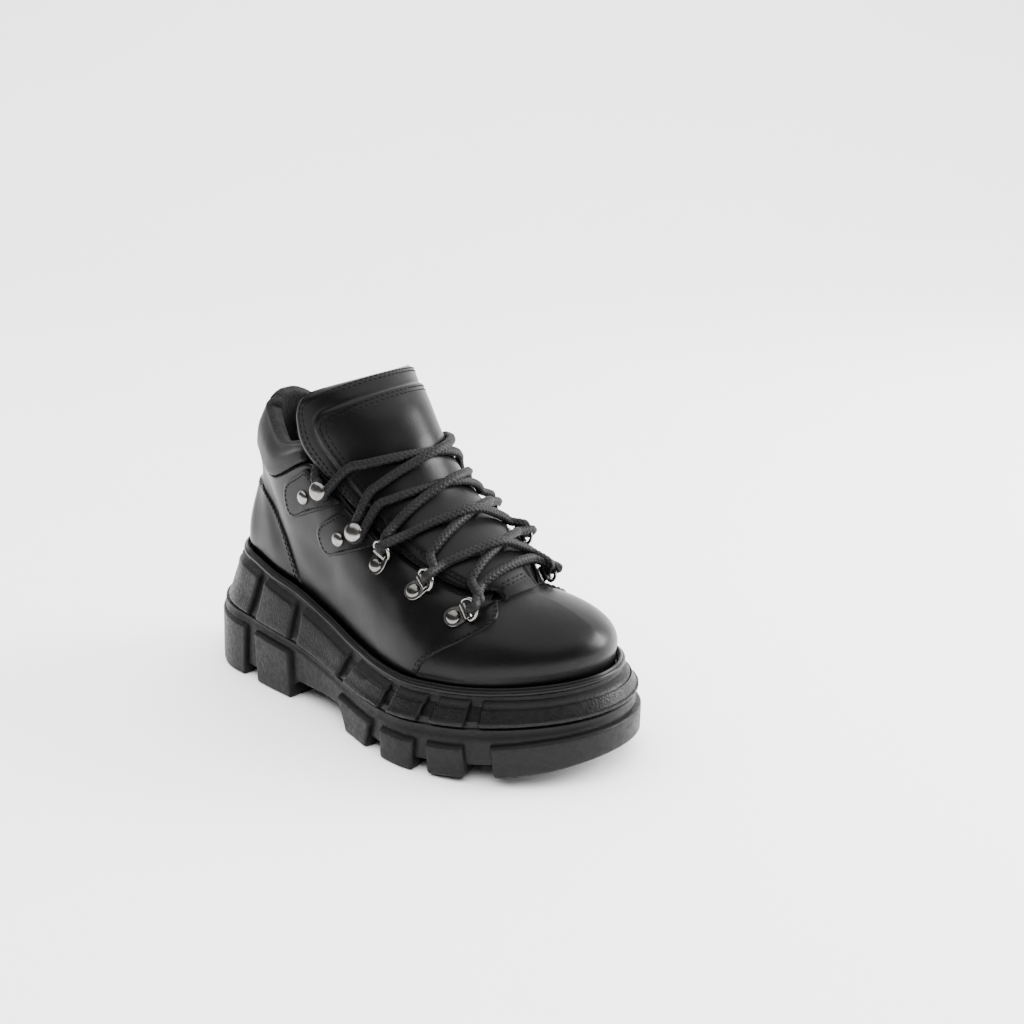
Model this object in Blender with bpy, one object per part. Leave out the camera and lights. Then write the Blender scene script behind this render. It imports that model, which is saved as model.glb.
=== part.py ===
"""Chunky lace-up platform sneaker with hooks and D-ring eyelets: one shoe, for the right foot.

Frame: +X points to the toe, +Y to the inner (medial) side of the foot, +Z up.
The origin is on the ground at the middle of the footprint. Tables are in millimetres.
"""
import math
from collections import namedtuple

import bmesh
import bpy
import numpy as np
from mathutils import Vector
from mathutils.bvhtree import BVHTree

MM = 0.001

# ------------------------------------------------------------------ driving sizes (mm)
LENGTH = 290.0            # of the sole, heel to toe
HEEL_ROUND = 41.0         # length of the round back of the sole
TOE_ROUND = 72.0          # length of the round front of the sole
FIT = 0.3                 # gap between pieces that touch
CURVED_FIT = 0.45         # the same where both faces are curved
WALL = 2.0                # leather with its lining
TREAD = 6.5               # depth of the grooves under the sole
SIDE_GROOVE = 3.4         # depth of the grooves in the side of the sole
EDGE = 0.8                # run of a lug's or block's flank
LUG_RING = 25.0           # width of the lugs under the edge of the sole
WELT_HEIGHT = 4.6
WELT_WIDTH = 3.6
COUNTER_STEP = 0.8        # heel counter, proud of the quarter
COUNTER_TOP = 0.69        # its top edge, as a share of the height of the upper
COLLAR_STEP = 0.8         # collar, proud of the quarter
TOE_STEP = 0.9            # toe cap, below the quarter
INSOLE_HEIGHT = 4.5
FEATHER_FIT = 0.7         # gap between the welt and the foot of the upper
COLLAR_FIT = 0.75         # gap under the collar, whose seat is wider than the upper's edge
CUFF_THICKNESS = 9.0
TONGUE_THICKNESS = 7.0
TONGUE_PANEL_STEP = 1.4
LACE_RADIUS = 2.4
LACE_OVER = 1.75           # how far a run is lifted where it crosses over another, in lace radii
TAB_THICKNESS = 1.5       # leather tab under a hook
SEAT_FIT = 0.4            # gap under small pieces that lie on the curved upper
TAB_FIT = 0.95            # gap under a leather tab, which spans several facets
METAL_FIT = 0.3
CURL_FIT = 0.5
PLATE_THICKNESS = 0.9     # of a D-ring's plate, and its half widths
PLATE_HALF = 5.0
PLATE_NECK = 4.2
PLATE_RUNS = (-4.6, -3.0, -1.0, 1.0, 3.0, 5.0, 7.5)   # where its underside is seated
RING_REACH = 7.0          # from the plate's rivet to the ring's straight bar
RING_WIRE = 0.95
RING_HALF = 5.6
RING_DEPTH = 7.4
RING_TILT = 40.0          # degrees up from the plate
METAL_COLOUR = (0.5, 0.49, 0.47)

SoleRow = namedtuple("SoleRow", "x centre half lug_head block_foot block_head rim foot_inset rim_inset")
SOLE = (
    SoleRow(-145, 4.5, 41.0, 36.0, 43.5, 71.5, 78.5, 7.0, 20.5),
    SoleRow(-125, 4.5, 41.0, 34.0, 41.5, 70.0, 77.0, 5.0, 16.5),
    SoleRow(-100, 3.5, 41.0, 32.5, 39.5, 67.5, 74.5, 2.2, 10.5),
    SoleRow(-75, 1.5, 42.0, 31.0, 37.5, 63.5, 70.5, 1.2, 7.5),
    SoleRow(-50, -0.5, 42.0, 28.5, 35.0, 57.5, 65.5, 1.2, 7.5),
    SoleRow(-25, -1.5, 43.5, 23.0, 30.5, 50.0, 57.5, 1.2, 7.5),
    SoleRow(0, -2.5, 48.5, 18.8, 27.0, 43.5, 50.8, 1.2, 8.0),
    SoleRow(25, -3.0, 55.0, 17.5, 26.5, 40.8, 47.8, 1.2, 8.5),
    SoleRow(50, -2.0, 59.5, 17.5, 27.2, 40.2, 47.2, 1.2, 8.5),
    SoleRow(75, 1.5, 59.5, 19.0, 29.0, 41.5, 48.3, 1.2, 8.5),
    SoleRow(100, 5.5, 59.0, 22.0, 31.5, 43.5, 50.5, 1.2, 8.5),
    SoleRow(125, 8.0, 58.5, 26.5, 34.5, 46.0, 53.5, 1.5, 9.0),
    SoleRow(145, 8.5, 58.0, 30.0, 37.0, 49.0, 56.5, 2.0, 9.5),
)
SOLE_X = [row.x for row in SOLE]

GroundRow = namedtuple("GroundRow", "x ground tread")
GROUND = (
    GroundRow(-145, 5.0, 11.0),
    GroundRow(-134, 1.2, 8.0),
    GroundRow(-122, 0.0, TREAD),
    GroundRow(-54, 0.0, TREAD),
    GroundRow(-50, 0.0, 11.0),
    GroundRow(-10, 0.0, 11.0),
    GroundRow(-5, 0.0, TREAD),
    GroundRow(58, 0.0, TREAD),
    GroundRow(72, 1.4, 7.8),
    GroundRow(90, 3.4, 9.6),
    GroundRow(108, 5.6, 11.8),
    GroundRow(127, 9.6, 15.4),
    GroundRow(145, 15.5, 20.5),
)

# Runs of the side features along the length: foot and head of their rear and front flanks.
Feature = namedtuple("Feature", "rear_foot rear_head front_foot front_head")
LUGS = (
    Feature(-145, -145, -99, -96),
    Feature(-86, -86, -53.5, -53.5),
    Feature(0, -6, 23, 27),
    Feature(36, 37, 60, 61),
    Feature(69, 69, 90, 89),
    Feature(104, 103, 145, 145),
)
BLOCKS = (
    Feature(-129, -124, -95, -87),
    Feature(-86, -80, -55, -52),
    Feature(-47, -45, -9, -3),
    Feature(-2, 6, 33, 37),
    Feature(41, 44, 62, 66),
    Feature(70, 73, 89, 91),
    Feature(97, 98, 145, 145),
)
HEEL_RIBS = 3             # level ribs across the back of the heel
HEEL_RIB_TURN = 0.52      # how far round each rib runs, as a turn of the sole's edge
HEEL_RIB_HEIGHT = 5.0
HEEL_RIB_DEPTH = 2.4
HEEL_RIB_SINK = 3.0       # how far a rib is set into the wall behind it

# Cross bars of the tread between the rings of lugs: their ends along the shoe and half width.
Bar = namedtuple("Bar", "rear front half")
BAR_SINK = 1.0            # how far a bar is set into the sole, and the chamfer round its foot
BAR_CHAMFER = 1.0
BARS = (
    Bar(-104, -92, 11),
    Bar(-86, -74, 13),
    Bar(-68, -56, 13),
    Bar(0, 13, 21),
    Bar(20, 34, 26),
    Bar(41, 55, 29),
    Bar(62, 76, 29),
    Bar(83, 97, 27),
)

# Columns of the upper: from the feather line at base_x to a point on its top edge, bent like
# a Bezier curve: rise and out of the lower handle, run back to the base, rise and out of the upper.
UpperRow = namedtuple("UpperRow", "base_x top_x top_half top_z rise out lean up_rise up_out")
UPPER = (
    UpperRow(-145, -107.0, 0.0, 133.5, 20, 2.0, 0.10, -20, 2.0),
    UpperRow(-122, -106.3, 6.0, 133.3, 20, 2.0, 0.10, -20, 2.0),
    UpperRow(-92, -104.4, 11.5, 132.8, 20, 2.5, 0.20, -20, 2.5),
    UpperRow(-60, -100.5, 17.5, 131.3, 20, 3.5, 0.30, -19, 3.5),
    UpperRow(-38, -71.0, 34.0, 126.5, 20, 3.5, 0.30, -20, 3.5),
    UpperRow(-20, -38.5, 39.0, 141.0, 24, 3.0, 0.25, -20, 3.5),
    UpperRow(-8, -27.0, 38.0, 137.0, 24, 3.0, 0.15, -18, 4.5),
    UpperRow(8, -5.0, 37.5, 120.5, 23, 3.0, 0.10, -14, 6.5),
    UpperRow(24, 19.0, 37.0, 105.5, 21, 3.0, 0.15, -9, 6.5),
    UpperRow(40, 44.0, 34.5, 95.0, 19, 3.5, 0.25, -4, 6.0),
    UpperRow(53, 65.0, 29.0, 87.5, 19, 3.5, 0.35, 1, 3.0),
    UpperRow(62, 75.5, 19.5, 85.0, 19.5, 4.3, 0.41, 0.2, 0.0),
    UpperRow(80, 79.5, 12.0, 86.0, 19.5, 6.7, 0.44, -1.0, 0.0),
    UpperRow(105, 81.5, 6.0, 87.0, 19.7, 11.7, 0.41, -0.6, 0.0),
    UpperRow(145, 82.0, 0.0, 87.3, 22.8, 16.9, 0.39, 1.0, 0.0),
)
THROAT_CENTRE = 4.5
MEDIAL_RISE = 3.0         # how much higher the instep lies on its inner side
COUNTER_SEAM_X = -53.5    # base of the seams
TOE_SEAM_X = 54.0
COLLAR_FRONT_X = -20.0    # base of the column where collar and facing meet

# Shares of the upper's height at which its rows lie, with a pair at the top of the counter.
UPPER_SHARES = (0.0, 0.13, 0.27, 0.41, 0.55, 0.67, 0.71, 0.86, 1.0)

# How far the seams lean along the foot, towards the toe, at shares of the upper's height.
SeamRow = namedtuple("SeamRow", "share counter toe")
SEAMS = (
    SeamRow(0.0, 0.0, 0.0),
    SeamRow(0.12, 0.0, 3.0),
    SeamRow(0.23, 0.0, 8.0),
    SeamRow(0.35, 0.0, 17.0),
    SeamRow(0.45, -0.5, 27.0),
    SeamRow(0.55, -3.0, 36.5),
    SeamRow(0.63, -9.0, 41.0),
    SeamRow(0.70, -20.0, 40.0),
    SeamRow(0.80, -10.0, 33.0),
    SeamRow(1.0, 0.0, 15.0),
)
SEAM_SHARES = [row.share for row in SEAMS]
COUNTER_REACH = (70.0, 40.0)   # how far the lean spreads, towards the heel and towards the toe
TOE_REACH = (64.0, 118.0)

# Padded collar: its rim above the top edge of the upper, a row for each place along that edge.
CuffRow = namedtuple("CuffRow", "base_x rim_x rim_half rim_z swell")
CUFF = (
    CuffRow(-145, -96.5, 0.0, 168.0, 3.4),
    CuffRow(-122, -96.0, 5.5, 167.5, 3.4),
    CuffRow(-92, -95.0, 10.0, 165.5, 3.4),
    CuffRow(-60, -91.0, 16.0, 160.0, 3.4),
    CuffRow(-38, -66.0, 29.0, 148.0, 3.2),
    CuffRow(-20, -42.5, 34.5, 153.0, 2.4),
)

# Tongue: edge and crown of each section, from the toe end up.
TongueRow = namedtuple("TongueRow", "edge_x edge_half edge_z crown_x crown_z")
TONGUE = (
    TongueRow(73.0, 12.5, 87.0, 78.0, 88.0),
    TongueRow(64.0, 25.0, 89.0, 68.0, 97.0),
    TongueRow(44.0, 33.0, 96.5, 51.0, 109.5),
    TongueRow(19.0, 35.6, 107.0, 32.0, 125.0),
    TongueRow(-5.0, 37.0, 122.0, 20.0, 140.5),
    TongueRow(-28.5, 39.5, 139.0, 11.0, 157.0),
    TongueRow(-39.0, 43.0, 154.0, 0.0, 173.0),
    TongueRow(-41.0, 44.0, 176.5, -17.0, 189.0),
)

# Leather tabs under the hooks: corners as (x, z) on the quarter, first and last on the throat's
# edge. Rounded corners follow the second and third.
Tab = namedtuple("Tab", "name top rear foot front")
TABS = (
    Tab("upper", (-37.5, 138.5), (-59.5, 125.0), (-55.0, 106.0), (-12.5, 124.0)),
    Tab("lower", (-9.0, 121.5), (-30.5, 107.0), (-23.5, 91.5), (14.5, 106.5)),
)
Spot = namedtuple("Spot", "name x z aim")
HOOKS = (Spot("upper", -23.5, 129.5, 40.0), Spot("lower", 2.5, 111.5, 35.0))
RIVETS = (Spot("upper", -38.5, 122.8, 0.0), Spot("lower", -9.6, 105.8, 0.0))
RINGS = (Spot("3", 16.9, 97.0, 24.0), Spot("2", 42.8, 88.6, 38.0), Spot("1", 66.0, 78.6, 52.0))
DOME = ((3.9, 0.0), (3.8, 0.7), (2.9, 1.7), (1.3, 2.3))
PLATE_DOME = ((3.7, 0.4), (3.6, 1.5), (2.7, 2.5), (1.2, 3.0))
HOOK_FORM = (
    (3.0, 0.0), (3.0, 0.6), (1.7, 0.9), (1.7, 3.4), (4.6, 3.5),
    (5.2, 4.1), (4.8, 5.2), (3.4, 6.3), (1.5, 6.9),
)

# Lace: where each run meets the tongue's two sides, in sections of the tongue.
Run = namedtuple("Run", "outer inner over")
LACE_BAR = Run(0.78, 0.78, False)
LACE_CROSSES = (
    (Run(1.02, 1.86, False), Run(1.86, 1.02, True)),
    (Run(2.1, 2.86, False), Run(2.86, 2.1, True)),
    (Run(3.78, 3.1, False), Run(3.1, 3.78, True)),
    (Run(4.85, 4.02, False), Run(4.02, 4.85, True)),
)
LACE_FIT = 0.8            # between the lace and the tongue, both curved
LACE_REACH = 0.86         # how far across the tongue the lace is a solid of its own
LACE_STEPS = 9


# ------------------------------------------------------------------ curves and lines
def spline(xs, values, x):
    """Smooth curve through table values, with slopes taken from the neighbouring rows."""
    xs = np.asarray(xs, float)
    values = np.asarray(values, float)
    slopes = np.gradient(values, xs)
    x = min(max(x, xs[0]), xs[-1])
    i = min(max(int(np.searchsorted(xs, x)) - 1, 0), len(xs) - 2)
    run = xs[i + 1] - xs[i]
    t = (x - xs[i]) / run
    return (
        (1 + 2 * t) * (1 - t) ** 2 * values[i]
        + t * (1 - t) ** 2 * run * slopes[i]
        + t * t * (3 - 2 * t) * values[i + 1]
        + t * t * (t - 1) * run * slopes[i + 1]
    )


def sole_line(column, x):
    """Value of one column of the sole's table at x."""
    return spline(SOLE_X, [getattr(row, column) for row in SOLE], x)


def ground_line(column, x):
    """Height of the lugs' feet or of the grooves between them at x."""
    return float(np.interp(x, [row.x for row in GROUND], [getattr(row, column) for row in GROUND]))


def seat_height(x):
    """Top of the midsole, on which welt, upper and insole sit."""
    return sole_line("rim", x) - WELT_HEIGHT


def half_width(x):
    """Half width of the sole, rounded off at heel and toe."""
    half = sole_line("half", x)
    for run in ((LENGTH / 2 + x) / HEEL_ROUND, (LENGTH / 2 - x) / TOE_ROUND):
        if run < 1:
            half *= math.sqrt(max(1 - (1 - run) ** 2, 0))
    return half


def edge_point(turn, side):
    """Point of the sole's edge: turn runs from 0 at the heel to pi at the toe."""
    if turn < 0:
        turn, side = -turn, -side
    if turn > math.pi:
        turn, side = 2 * math.pi - turn, -side
    x = -LENGTH / 2 * math.cos(turn)
    return np.array([x, sole_line("centre", x) + side * half_width(x)])


def turn_at(x):
    """The turn at which the sole's edge passes x."""
    return math.acos(max(-1.0, min(1.0, -2 * x / LENGTH)))


def inward(x, side):
    """Unit normal of the sole's edge, pointing inwards."""
    step = 0.02
    ahead = edge_point(turn_at(x) + step, side) - edge_point(turn_at(x) - step, side)
    normal = np.array([side * ahead[1], -side * ahead[0]])
    return normal / np.linalg.norm(normal)


def outline(x, side, inset):
    """Point inset from the sole's edge; side is -1 on the outer side and 1 on the inner."""
    return edge_point(turn_at(x), side) + inward(x, side) * inset


# ------------------------------------------------------------------ meshes and objects
def material(name, colour, roughness, metallic=0.0):
    made = bpy.data.materials.new(name)
    made.use_nodes = True
    shader = made.node_tree.nodes["Principled BSDF"]
    shader.inputs["Base Color"].default_value = (*colour, 1.0)
    shader.inputs["Roughness"].default_value = roughness
    shader.inputs["Metallic"].default_value = metallic
    return made


def add_object(name, points, faces, look, sharp=35.0):
    """Make one closed object from points in millimetres."""
    mesh = bpy.data.meshes.new(name)
    mesh.from_pydata([tuple(float(v) * MM for v in point) for point in points], [], faces)
    tidy = bmesh.new()
    tidy.from_mesh(mesh)
    bmesh.ops.recalc_face_normals(tidy, faces=tidy.faces)
    tidy.to_mesh(mesh)
    tidy.free()
    mesh.shade_smooth()
    mesh.set_sharp_from_angle(angle=math.radians(sharp))
    mesh.materials.append(look)
    made = bpy.data.objects.new(name, mesh)
    bpy.context.scene.collection.objects.link(made)
    return made


def loop_of(columns):
    """Side and column all the way round: outer side to the toe, inner side back to the heel."""
    outer = [(-1, column) for column in columns]
    inner = [(1, column) for column in columns[-2:0:-1]]
    return outer + inner


def stack_solid(name, rings, look, sharp=35.0):
    """Skin a stack of closed rings and close both ends with strips across the sole."""
    count = len(rings[0])
    half = count // 2
    points = [point for ring in rings for point in ring]
    faces = []
    for j in range(len(rings) - 1):
        for i in range(count):
            k = (i + 1) % count
            faces.append((j * count + i, j * count + k, (j + 1) * count + k, (j + 1) * count + i))
    for start in (0, (len(rings) - 1) * count):
        faces.append((start, start + 1, start + count - 1))
        for i in range(1, half - 1):
            faces.append((start + i, start + i + 1, start + count - i - 1, start + count - i))
        faces.append((start + half - 1, start + half, start + half + 1))
    return add_object(name, points, faces, look, sharp)


def band_solid(name, loops, look, closed=True, sharp=35.0):
    """Skin a row of closed cross-sections: a closed band, or one with capped ends."""
    count = len(loops[0])
    points = [point for loop in loops for point in loop]
    faces = []
    last = len(loops) if closed else len(loops) - 1
    for i in range(last):
        k = (i + 1) % len(loops)
        for j in range(count):
            m = (j + 1) % count
            faces.append((i * count + j, k * count + j, k * count + m, i * count + m))
    if not closed:
        faces.append(tuple(range(count)))
        faces.append(tuple((len(loops) - 1) * count + j for j in range(count)))
    return add_object(name, points, faces, look, sharp)


def join(body, others):
    """Unite other closed objects with a body; the build reads the body with its unions."""
    for other in others:
        union = body.modifiers.new("union", "BOOLEAN")
        union.operation = "UNION"
        union.solver = "EXACT"
        union.object = other
        other.hide_render = True
        other.display_type = "WIRE"
    return body


# ------------------------------------------------------------------ sole
Column = namedtuple("Column", "foot_x head_x raised")


def side_columns(features, plain_step, rear_end):
    """Columns along one side: flanks of each feature, and plain ones between and on them."""
    columns = []
    for feature in features:
        rear = (feature.rear_foot, feature.rear_head)
        front = (feature.front_foot, feature.front_head)
        if rear[0] > -LENGTH / 2:
            columns.append(Column(rear[0] - EDGE, rear[1] - EDGE, False))
        count = max(1, round((front[0] - rear[0]) / plain_step))
        if front[0] >= LENGTH / 2:
            spread = [turn_at(rear[1]) + (math.pi - turn_at(rear[1])) * i / 6 for i in range(7)]
            runs = [(-LENGTH / 2 * math.cos(turn) - rear[1]) / (front[1] - rear[1]) for turn in spread]
        elif rear[0] <= -LENGTH / 2:
            spread = [turn_at(front[1]) * i / 5 for i in range(6)]
            runs = [(-LENGTH / 2 * math.cos(turn) - rear[1]) / (front[1] - rear[1]) for turn in spread]
        else:
            runs = [i / count for i in range(count + 1)]
        for run in runs:
            foot = rear[0] + (front[0] - rear[0]) * run
            head = rear[1] + (front[1] - rear[1]) * run
            columns.append(Column(foot, head, True))
        if front[0] < LENGTH / 2:
            columns.append(Column(front[0] + EDGE, front[1] + EDGE, False))
    if rear_end:
        first = columns[0].foot_x
        heel = [Column(x, x, False) for x in rear_end if x < first - 1]
        columns = heel + columns
    return columns


def sole_ring(columns, level, inset_of, height_of):
    """One ring of the sole: level is 0 at the feature's foot and 1 at its head."""
    ring = []
    for side, column in loop_of(columns):
        station = column.foot_x + (column.head_x - column.foot_x) * level
        inset = inset_of(column, station)
        x, y = outline(station, side, inset)
        ring.append((x, y, height_of(column, x)))
    return ring


def parting_height(x):
    """Where outsole and midsole meet, under the feet of the blocks."""
    return sole_line("block_foot", x) - 0.8


def make_outsole(look):
    columns = side_columns(LUGS, 16.0, ())
    arch = [Column(x, x, False) for x in (-50, -40, -28, -16, -8)]
    columns = sorted(columns + arch, key=lambda column: column.head_x)

    def groove(column, x):
        return SIDE_GROOVE

    def flank(column, x):
        return 0.2 + 0.4 * (sole_line("foot_inset", x) - 1.2) if column.raised else SIDE_GROOVE

    def toe_in(column, x):
        return 0.7 if column.raised else SIDE_GROOVE

    def foot_edge(column, x):
        return 1.8 if column.raised else SIDE_GROOVE + 1.0

    def foot(column, x):
        return ground_line("ground" if column.raised else "tread", x)

    rings = [
        sole_ring(columns, 1, lambda c, x: SIDE_GROOVE + 1.2, lambda c, x: parting_height(x)),
        sole_ring(columns, 1, groove, lambda c, x: sole_line("lug_head", x) + 0.5),
        sole_ring(columns, 1, flank, lambda c, x: sole_line("lug_head", x) - 0.5),
        sole_ring(columns, 0.2, toe_in, lambda c, x: foot(c, x) + 2.2),
        sole_ring(columns, 0, foot_edge, foot),
        sole_ring(columns, 0, lambda c, x: LUG_RING, foot),
        sole_ring(columns, 0, lambda c, x: LUG_RING + EDGE, lambda c, x: ground_line("tread", x)),
    ]
    return stack_solid("outsole", rings, look)


def make_bars(look):
    """Cross bars of the tread, set a little into the sole, with a chamfer round each foot."""
    levels = (
        (0.0, lambda x: ground_line("tread", x) + BAR_SINK),
        (0.0, lambda x: ground_line("ground", x) + BAR_CHAMFER),
        (BAR_CHAMFER, lambda x: ground_line("ground", x)),
    )
    bars = []
    for i, bar in enumerate(BARS):
        points = []
        for inset, height_of in levels:
            half = bar.half - inset
            for x, y in (
                (bar.rear + inset, -half), (bar.front - inset, -half),
                (bar.front - inset, half), (bar.rear + inset, half),
            ):
                points.append((x, y + sole_line("centre", x), height_of(x)))
        faces = [(0, 1, 2, 3), (8, 9, 10, 11)]
        for start in (0, 4):
            for k in range(4):
                j = (k + 1) % 4
                faces.append((start + k, start + j, start + 4 + j, start + 4 + k))
        bars.append(add_object("bar_%d" % (i + 1), points, faces, look))
    return bars


def make_heel_ribs(look):
    """Level ribs across the recessed back of the heel, set a little into its wall."""
    ribs = []
    for i in range(HEEL_RIBS):
        share = (i + 0.5) / HEEL_RIBS
        loops = []
        for j in range(-4, 5):
            turn = HEEL_RIB_TURN * j / 4
            side = -1 if turn < 0 else 1
            station = -LENGTH / 2 * math.cos(turn)
            wall = lean(station, share) + SIDE_GROOVE
            foot = sole_line("block_foot", station)
            middle = foot + share * (sole_line("block_head", station) - foot)
            loop = []
            section = ((HEEL_RIB_SINK, 0.5), (-HEEL_RIB_DEPTH, 0.36))
            for depth, rise in [(d, -r) for d, r in section] + list(section[::-1]):
                x, y = outline(station, side, wall + depth)
                loop.append((x, y, middle + rise * HEEL_RIB_HEIGHT))
            loops.append(loop)
        ribs.append(band_solid("rib_%d" % (i + 1), loops, look, closed=False))
    return ribs


def lean(x, share):
    """Inset of the sole's side, leaning in from the blocks' feet to their heads."""
    foot = sole_line("foot_inset", x)
    return foot + share * (sole_line("rim_inset", x) - foot - 2.0)


def make_midsole(look):
    columns = side_columns(BLOCKS, 22.0, (-145, -144, -141.5, -137.5, -133))

    def hollow(share):
        return lambda column, x: lean(x, share) + SIDE_GROOVE

    def proud(share):
        return lambda column, x: lean(x, share) + (0 if column.raised else SIDE_GROOVE)

    rings = [
        sole_ring(columns, 0, hollow(0), lambda c, x: parting_height(x) + CURVED_FIT),
        sole_ring(columns, 0, hollow(0), lambda c, x: sole_line("block_foot", x) - 0.1),
        sole_ring(columns, 0, proud(0), lambda c, x: sole_line("block_foot", x) + 0.3),
        sole_ring(columns, 1, proud(1), lambda c, x: sole_line("block_head", x) - 0.4),
        sole_ring(columns, 1, hollow(1), lambda c, x: sole_line("block_head", x) + 0.8),
        sole_ring(columns, 1, lambda c, x: sole_line("rim_inset", x) + 1.6, lambda c, x: seat_height(x)),
    ]
    return stack_solid("midsole", rings, look)


def even_stations(count):
    """Stations evenly spread along the sole's edge, from heel to toe."""
    turns = [math.pi * i / 400 for i in range(401)]
    points = [edge_point(turn, -1) for turn in turns]
    lengths = [0.0]
    for a, b in zip(points, points[1:]):
        lengths.append(lengths[-1] + float(np.linalg.norm(b - a)))
    wanted = [lengths[-1] * i / count for i in range(count + 1)]
    return [-LENGTH / 2 * math.cos(float(np.interp(w, lengths, turns))) for w in wanted]


def make_welt(look):
    """Rounded bead round the foot of the upper."""
    section = (
        (0.0, 0.0), (-0.9, 0.5), (-0.2, 0.95), (WELT_WIDTH - 0.9, 1.0), (WELT_WIDTH, 0.8), (WELT_WIDTH, 0.0),
    )
    loops = []
    for side, station in loop_of(even_stations(30)):
        inset = sole_line("rim_inset", station)
        loop = []
        for run, rise in section:
            x, y = outline(station, side, inset + 0.9 + run)
            loop.append((x, y, seat_height(x) + FIT + rise * (WELT_HEIGHT - FIT)))
        loops.append(loop)
    return band_solid("welt", loops, look)


def feather_inset(x):
    """Inset of the upper's foot from the sole's edge."""
    return sole_line("rim_inset", x) + 0.9 + WELT_WIDTH + FEATHER_FIT


def make_insole(look):
    stations = even_stations(18)

    def ring(extra, height):
        points = []
        for side, station in loop_of(stations):
            x, y = outline(station, side, feather_inset(station) + WALL + extra)
            points.append((x, y, seat_height(x) + height))
        return points

    clear = TOE_STEP + 2 * FIT
    rings = [
        ring(clear + 0.3, CURVED_FIT),
        ring(clear, INSOLE_HEIGHT - 1.0),
        ring(clear + 1.5, INSOLE_HEIGHT),
    ]
    return stack_solid("insole", rings, look)


# ------------------------------------------------------------------ upper
def run_at(x):
    """Distance along the sole's outer edge from the heel to x."""
    turns = np.linspace(0, turn_at(x), 120)
    points = np.array([edge_point(turn, -1) for turn in turns])
    return float(np.sum(np.linalg.norm(np.diff(points, axis=0), axis=1)))


UPPER_RUNS = [run_at(row.base_x) for row in UPPER]
CUFF_RUNS = [run_at(row.base_x) for row in CUFF]
COUNTER_RUN = run_at(COUNTER_SEAM_X)
TOE_RUN = run_at(TOE_SEAM_X)


def upper_value(column, run):
    return spline(UPPER_RUNS, [getattr(row, column) for row in UPPER], run)


def top_edge(run, side):
    """Top edge of the upper: collar seam, facing edge and foot of the throat."""
    x = upper_value("top_x", run)
    half = upper_value("top_half", run)
    rise = MEDIAL_RISE * float(np.interp(x, (-90, -40, 55, 80), (0, 1, 1, 0))) if side > 0 else 0.0
    return np.array([x, THROAT_CENTRE + side * half, upper_value("top_z", run) + rise])


def station_at(run):
    """The station of the sole's edge at a distance along it."""
    return float(np.interp(run, STATION_RUNS, STATION_XS))


STATION_XS = [-LENGTH / 2 * math.cos(math.pi * i / 240) for i in range(241)]
STATION_RUNS = [run_at(x) for x in STATION_XS]


def seam_shift(run, share):
    """How far a column has moved along the foot at a share of its height, to follow the seams."""
    shift = 0.0
    for seam, column, reach in ((COUNTER_RUN, "counter", COUNTER_REACH), (TOE_RUN, "toe", TOE_REACH)):
        away = run - seam
        spread = reach[0] if away < 0 else reach[1]
        if abs(away) < spread:
            fade = math.cos(0.5 * math.pi * away / spread) ** 2
            shift += fade * spline(SEAM_SHARES, [getattr(row, column) for row in SEAMS], share)
    return shift


def upper_point(run, side, share):
    """Point of the upper at a share of its height, above the run along the sole's edge."""
    station = station_at(run)
    foot_xy = outline(station, side, feather_inset(station))
    lift = np.array([0.0, 0.0, 1.0])
    foot = np.array([*foot_xy, seat_height(foot_xy[0]) + FIT]) + lift * (WELT_HEIGHT + FIT)
    out = np.array([*(-inward(station, side)), 0.0])
    top = top_edge(run, side)
    across = np.array([*(foot - top)[:2], 0.0])
    low = foot - across * 0.25 * upper_value("lean", run) + out * upper_value("out", run)
    low = low + lift * upper_value("rise", run)
    high = top + across * upper_value("lean", run) + out * upper_value("up_out", run)
    high = high + lift * upper_value("up_rise", run)
    left = 1 - share
    weights = (left ** 3, 3 * share * left ** 2, 3 * share * share * left, share ** 3)
    return sum(w * p for w, p in zip(weights, (foot, low, high, top)))


def upper_profile(run, side, shares):
    """Points up one column of the upper, from its foot to its top edge."""
    points = [upper_point(run + seam_shift(run, share), side, share) for share in shares]
    seat = np.array([points[0][0], points[0][1], seat_height(points[0][0]) + FIT])
    return [seat] + points


def grid_normals(grid, closed):
    """Outward unit normals of a grid of points, by differences between neighbours."""
    grid = np.array(grid)
    if closed:
        along = np.roll(grid, -1, axis=0) - np.roll(grid, 1, axis=0)
    else:
        along = np.gradient(grid, axis=0)
    up = np.gradient(grid, axis=1)
    normal = np.cross(along, up)
    return normal / np.linalg.norm(normal, axis=2, keepdims=True)


def upper_runs():
    """Runs of the upper's columns on one side, with a pair at each seam."""
    full = UPPER_RUNS[-1]
    seams = [COUNTER_RUN, TOE_RUN]
    corner = CUFF_RUNS[-1]
    count = 28
    runs = [full * i / count for i in range(count + 1)]
    keep = [r for r in runs if all(abs(r - s) > full / count * 0.45 for s in seams + [corner])]
    for seam in seams:
        keep += [seam - 0.4, seam + 0.4]
    return sorted(keep + [corner])


def upper_step(run, share):
    """Height of the outer face over the quarter's: counter and toe cap are steps in the wall."""
    if run < COUNTER_RUN and share < COUNTER_TOP:
        return COUNTER_STEP
    if run > TOE_RUN:
        return -TOE_STEP
    return 0.0


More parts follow.
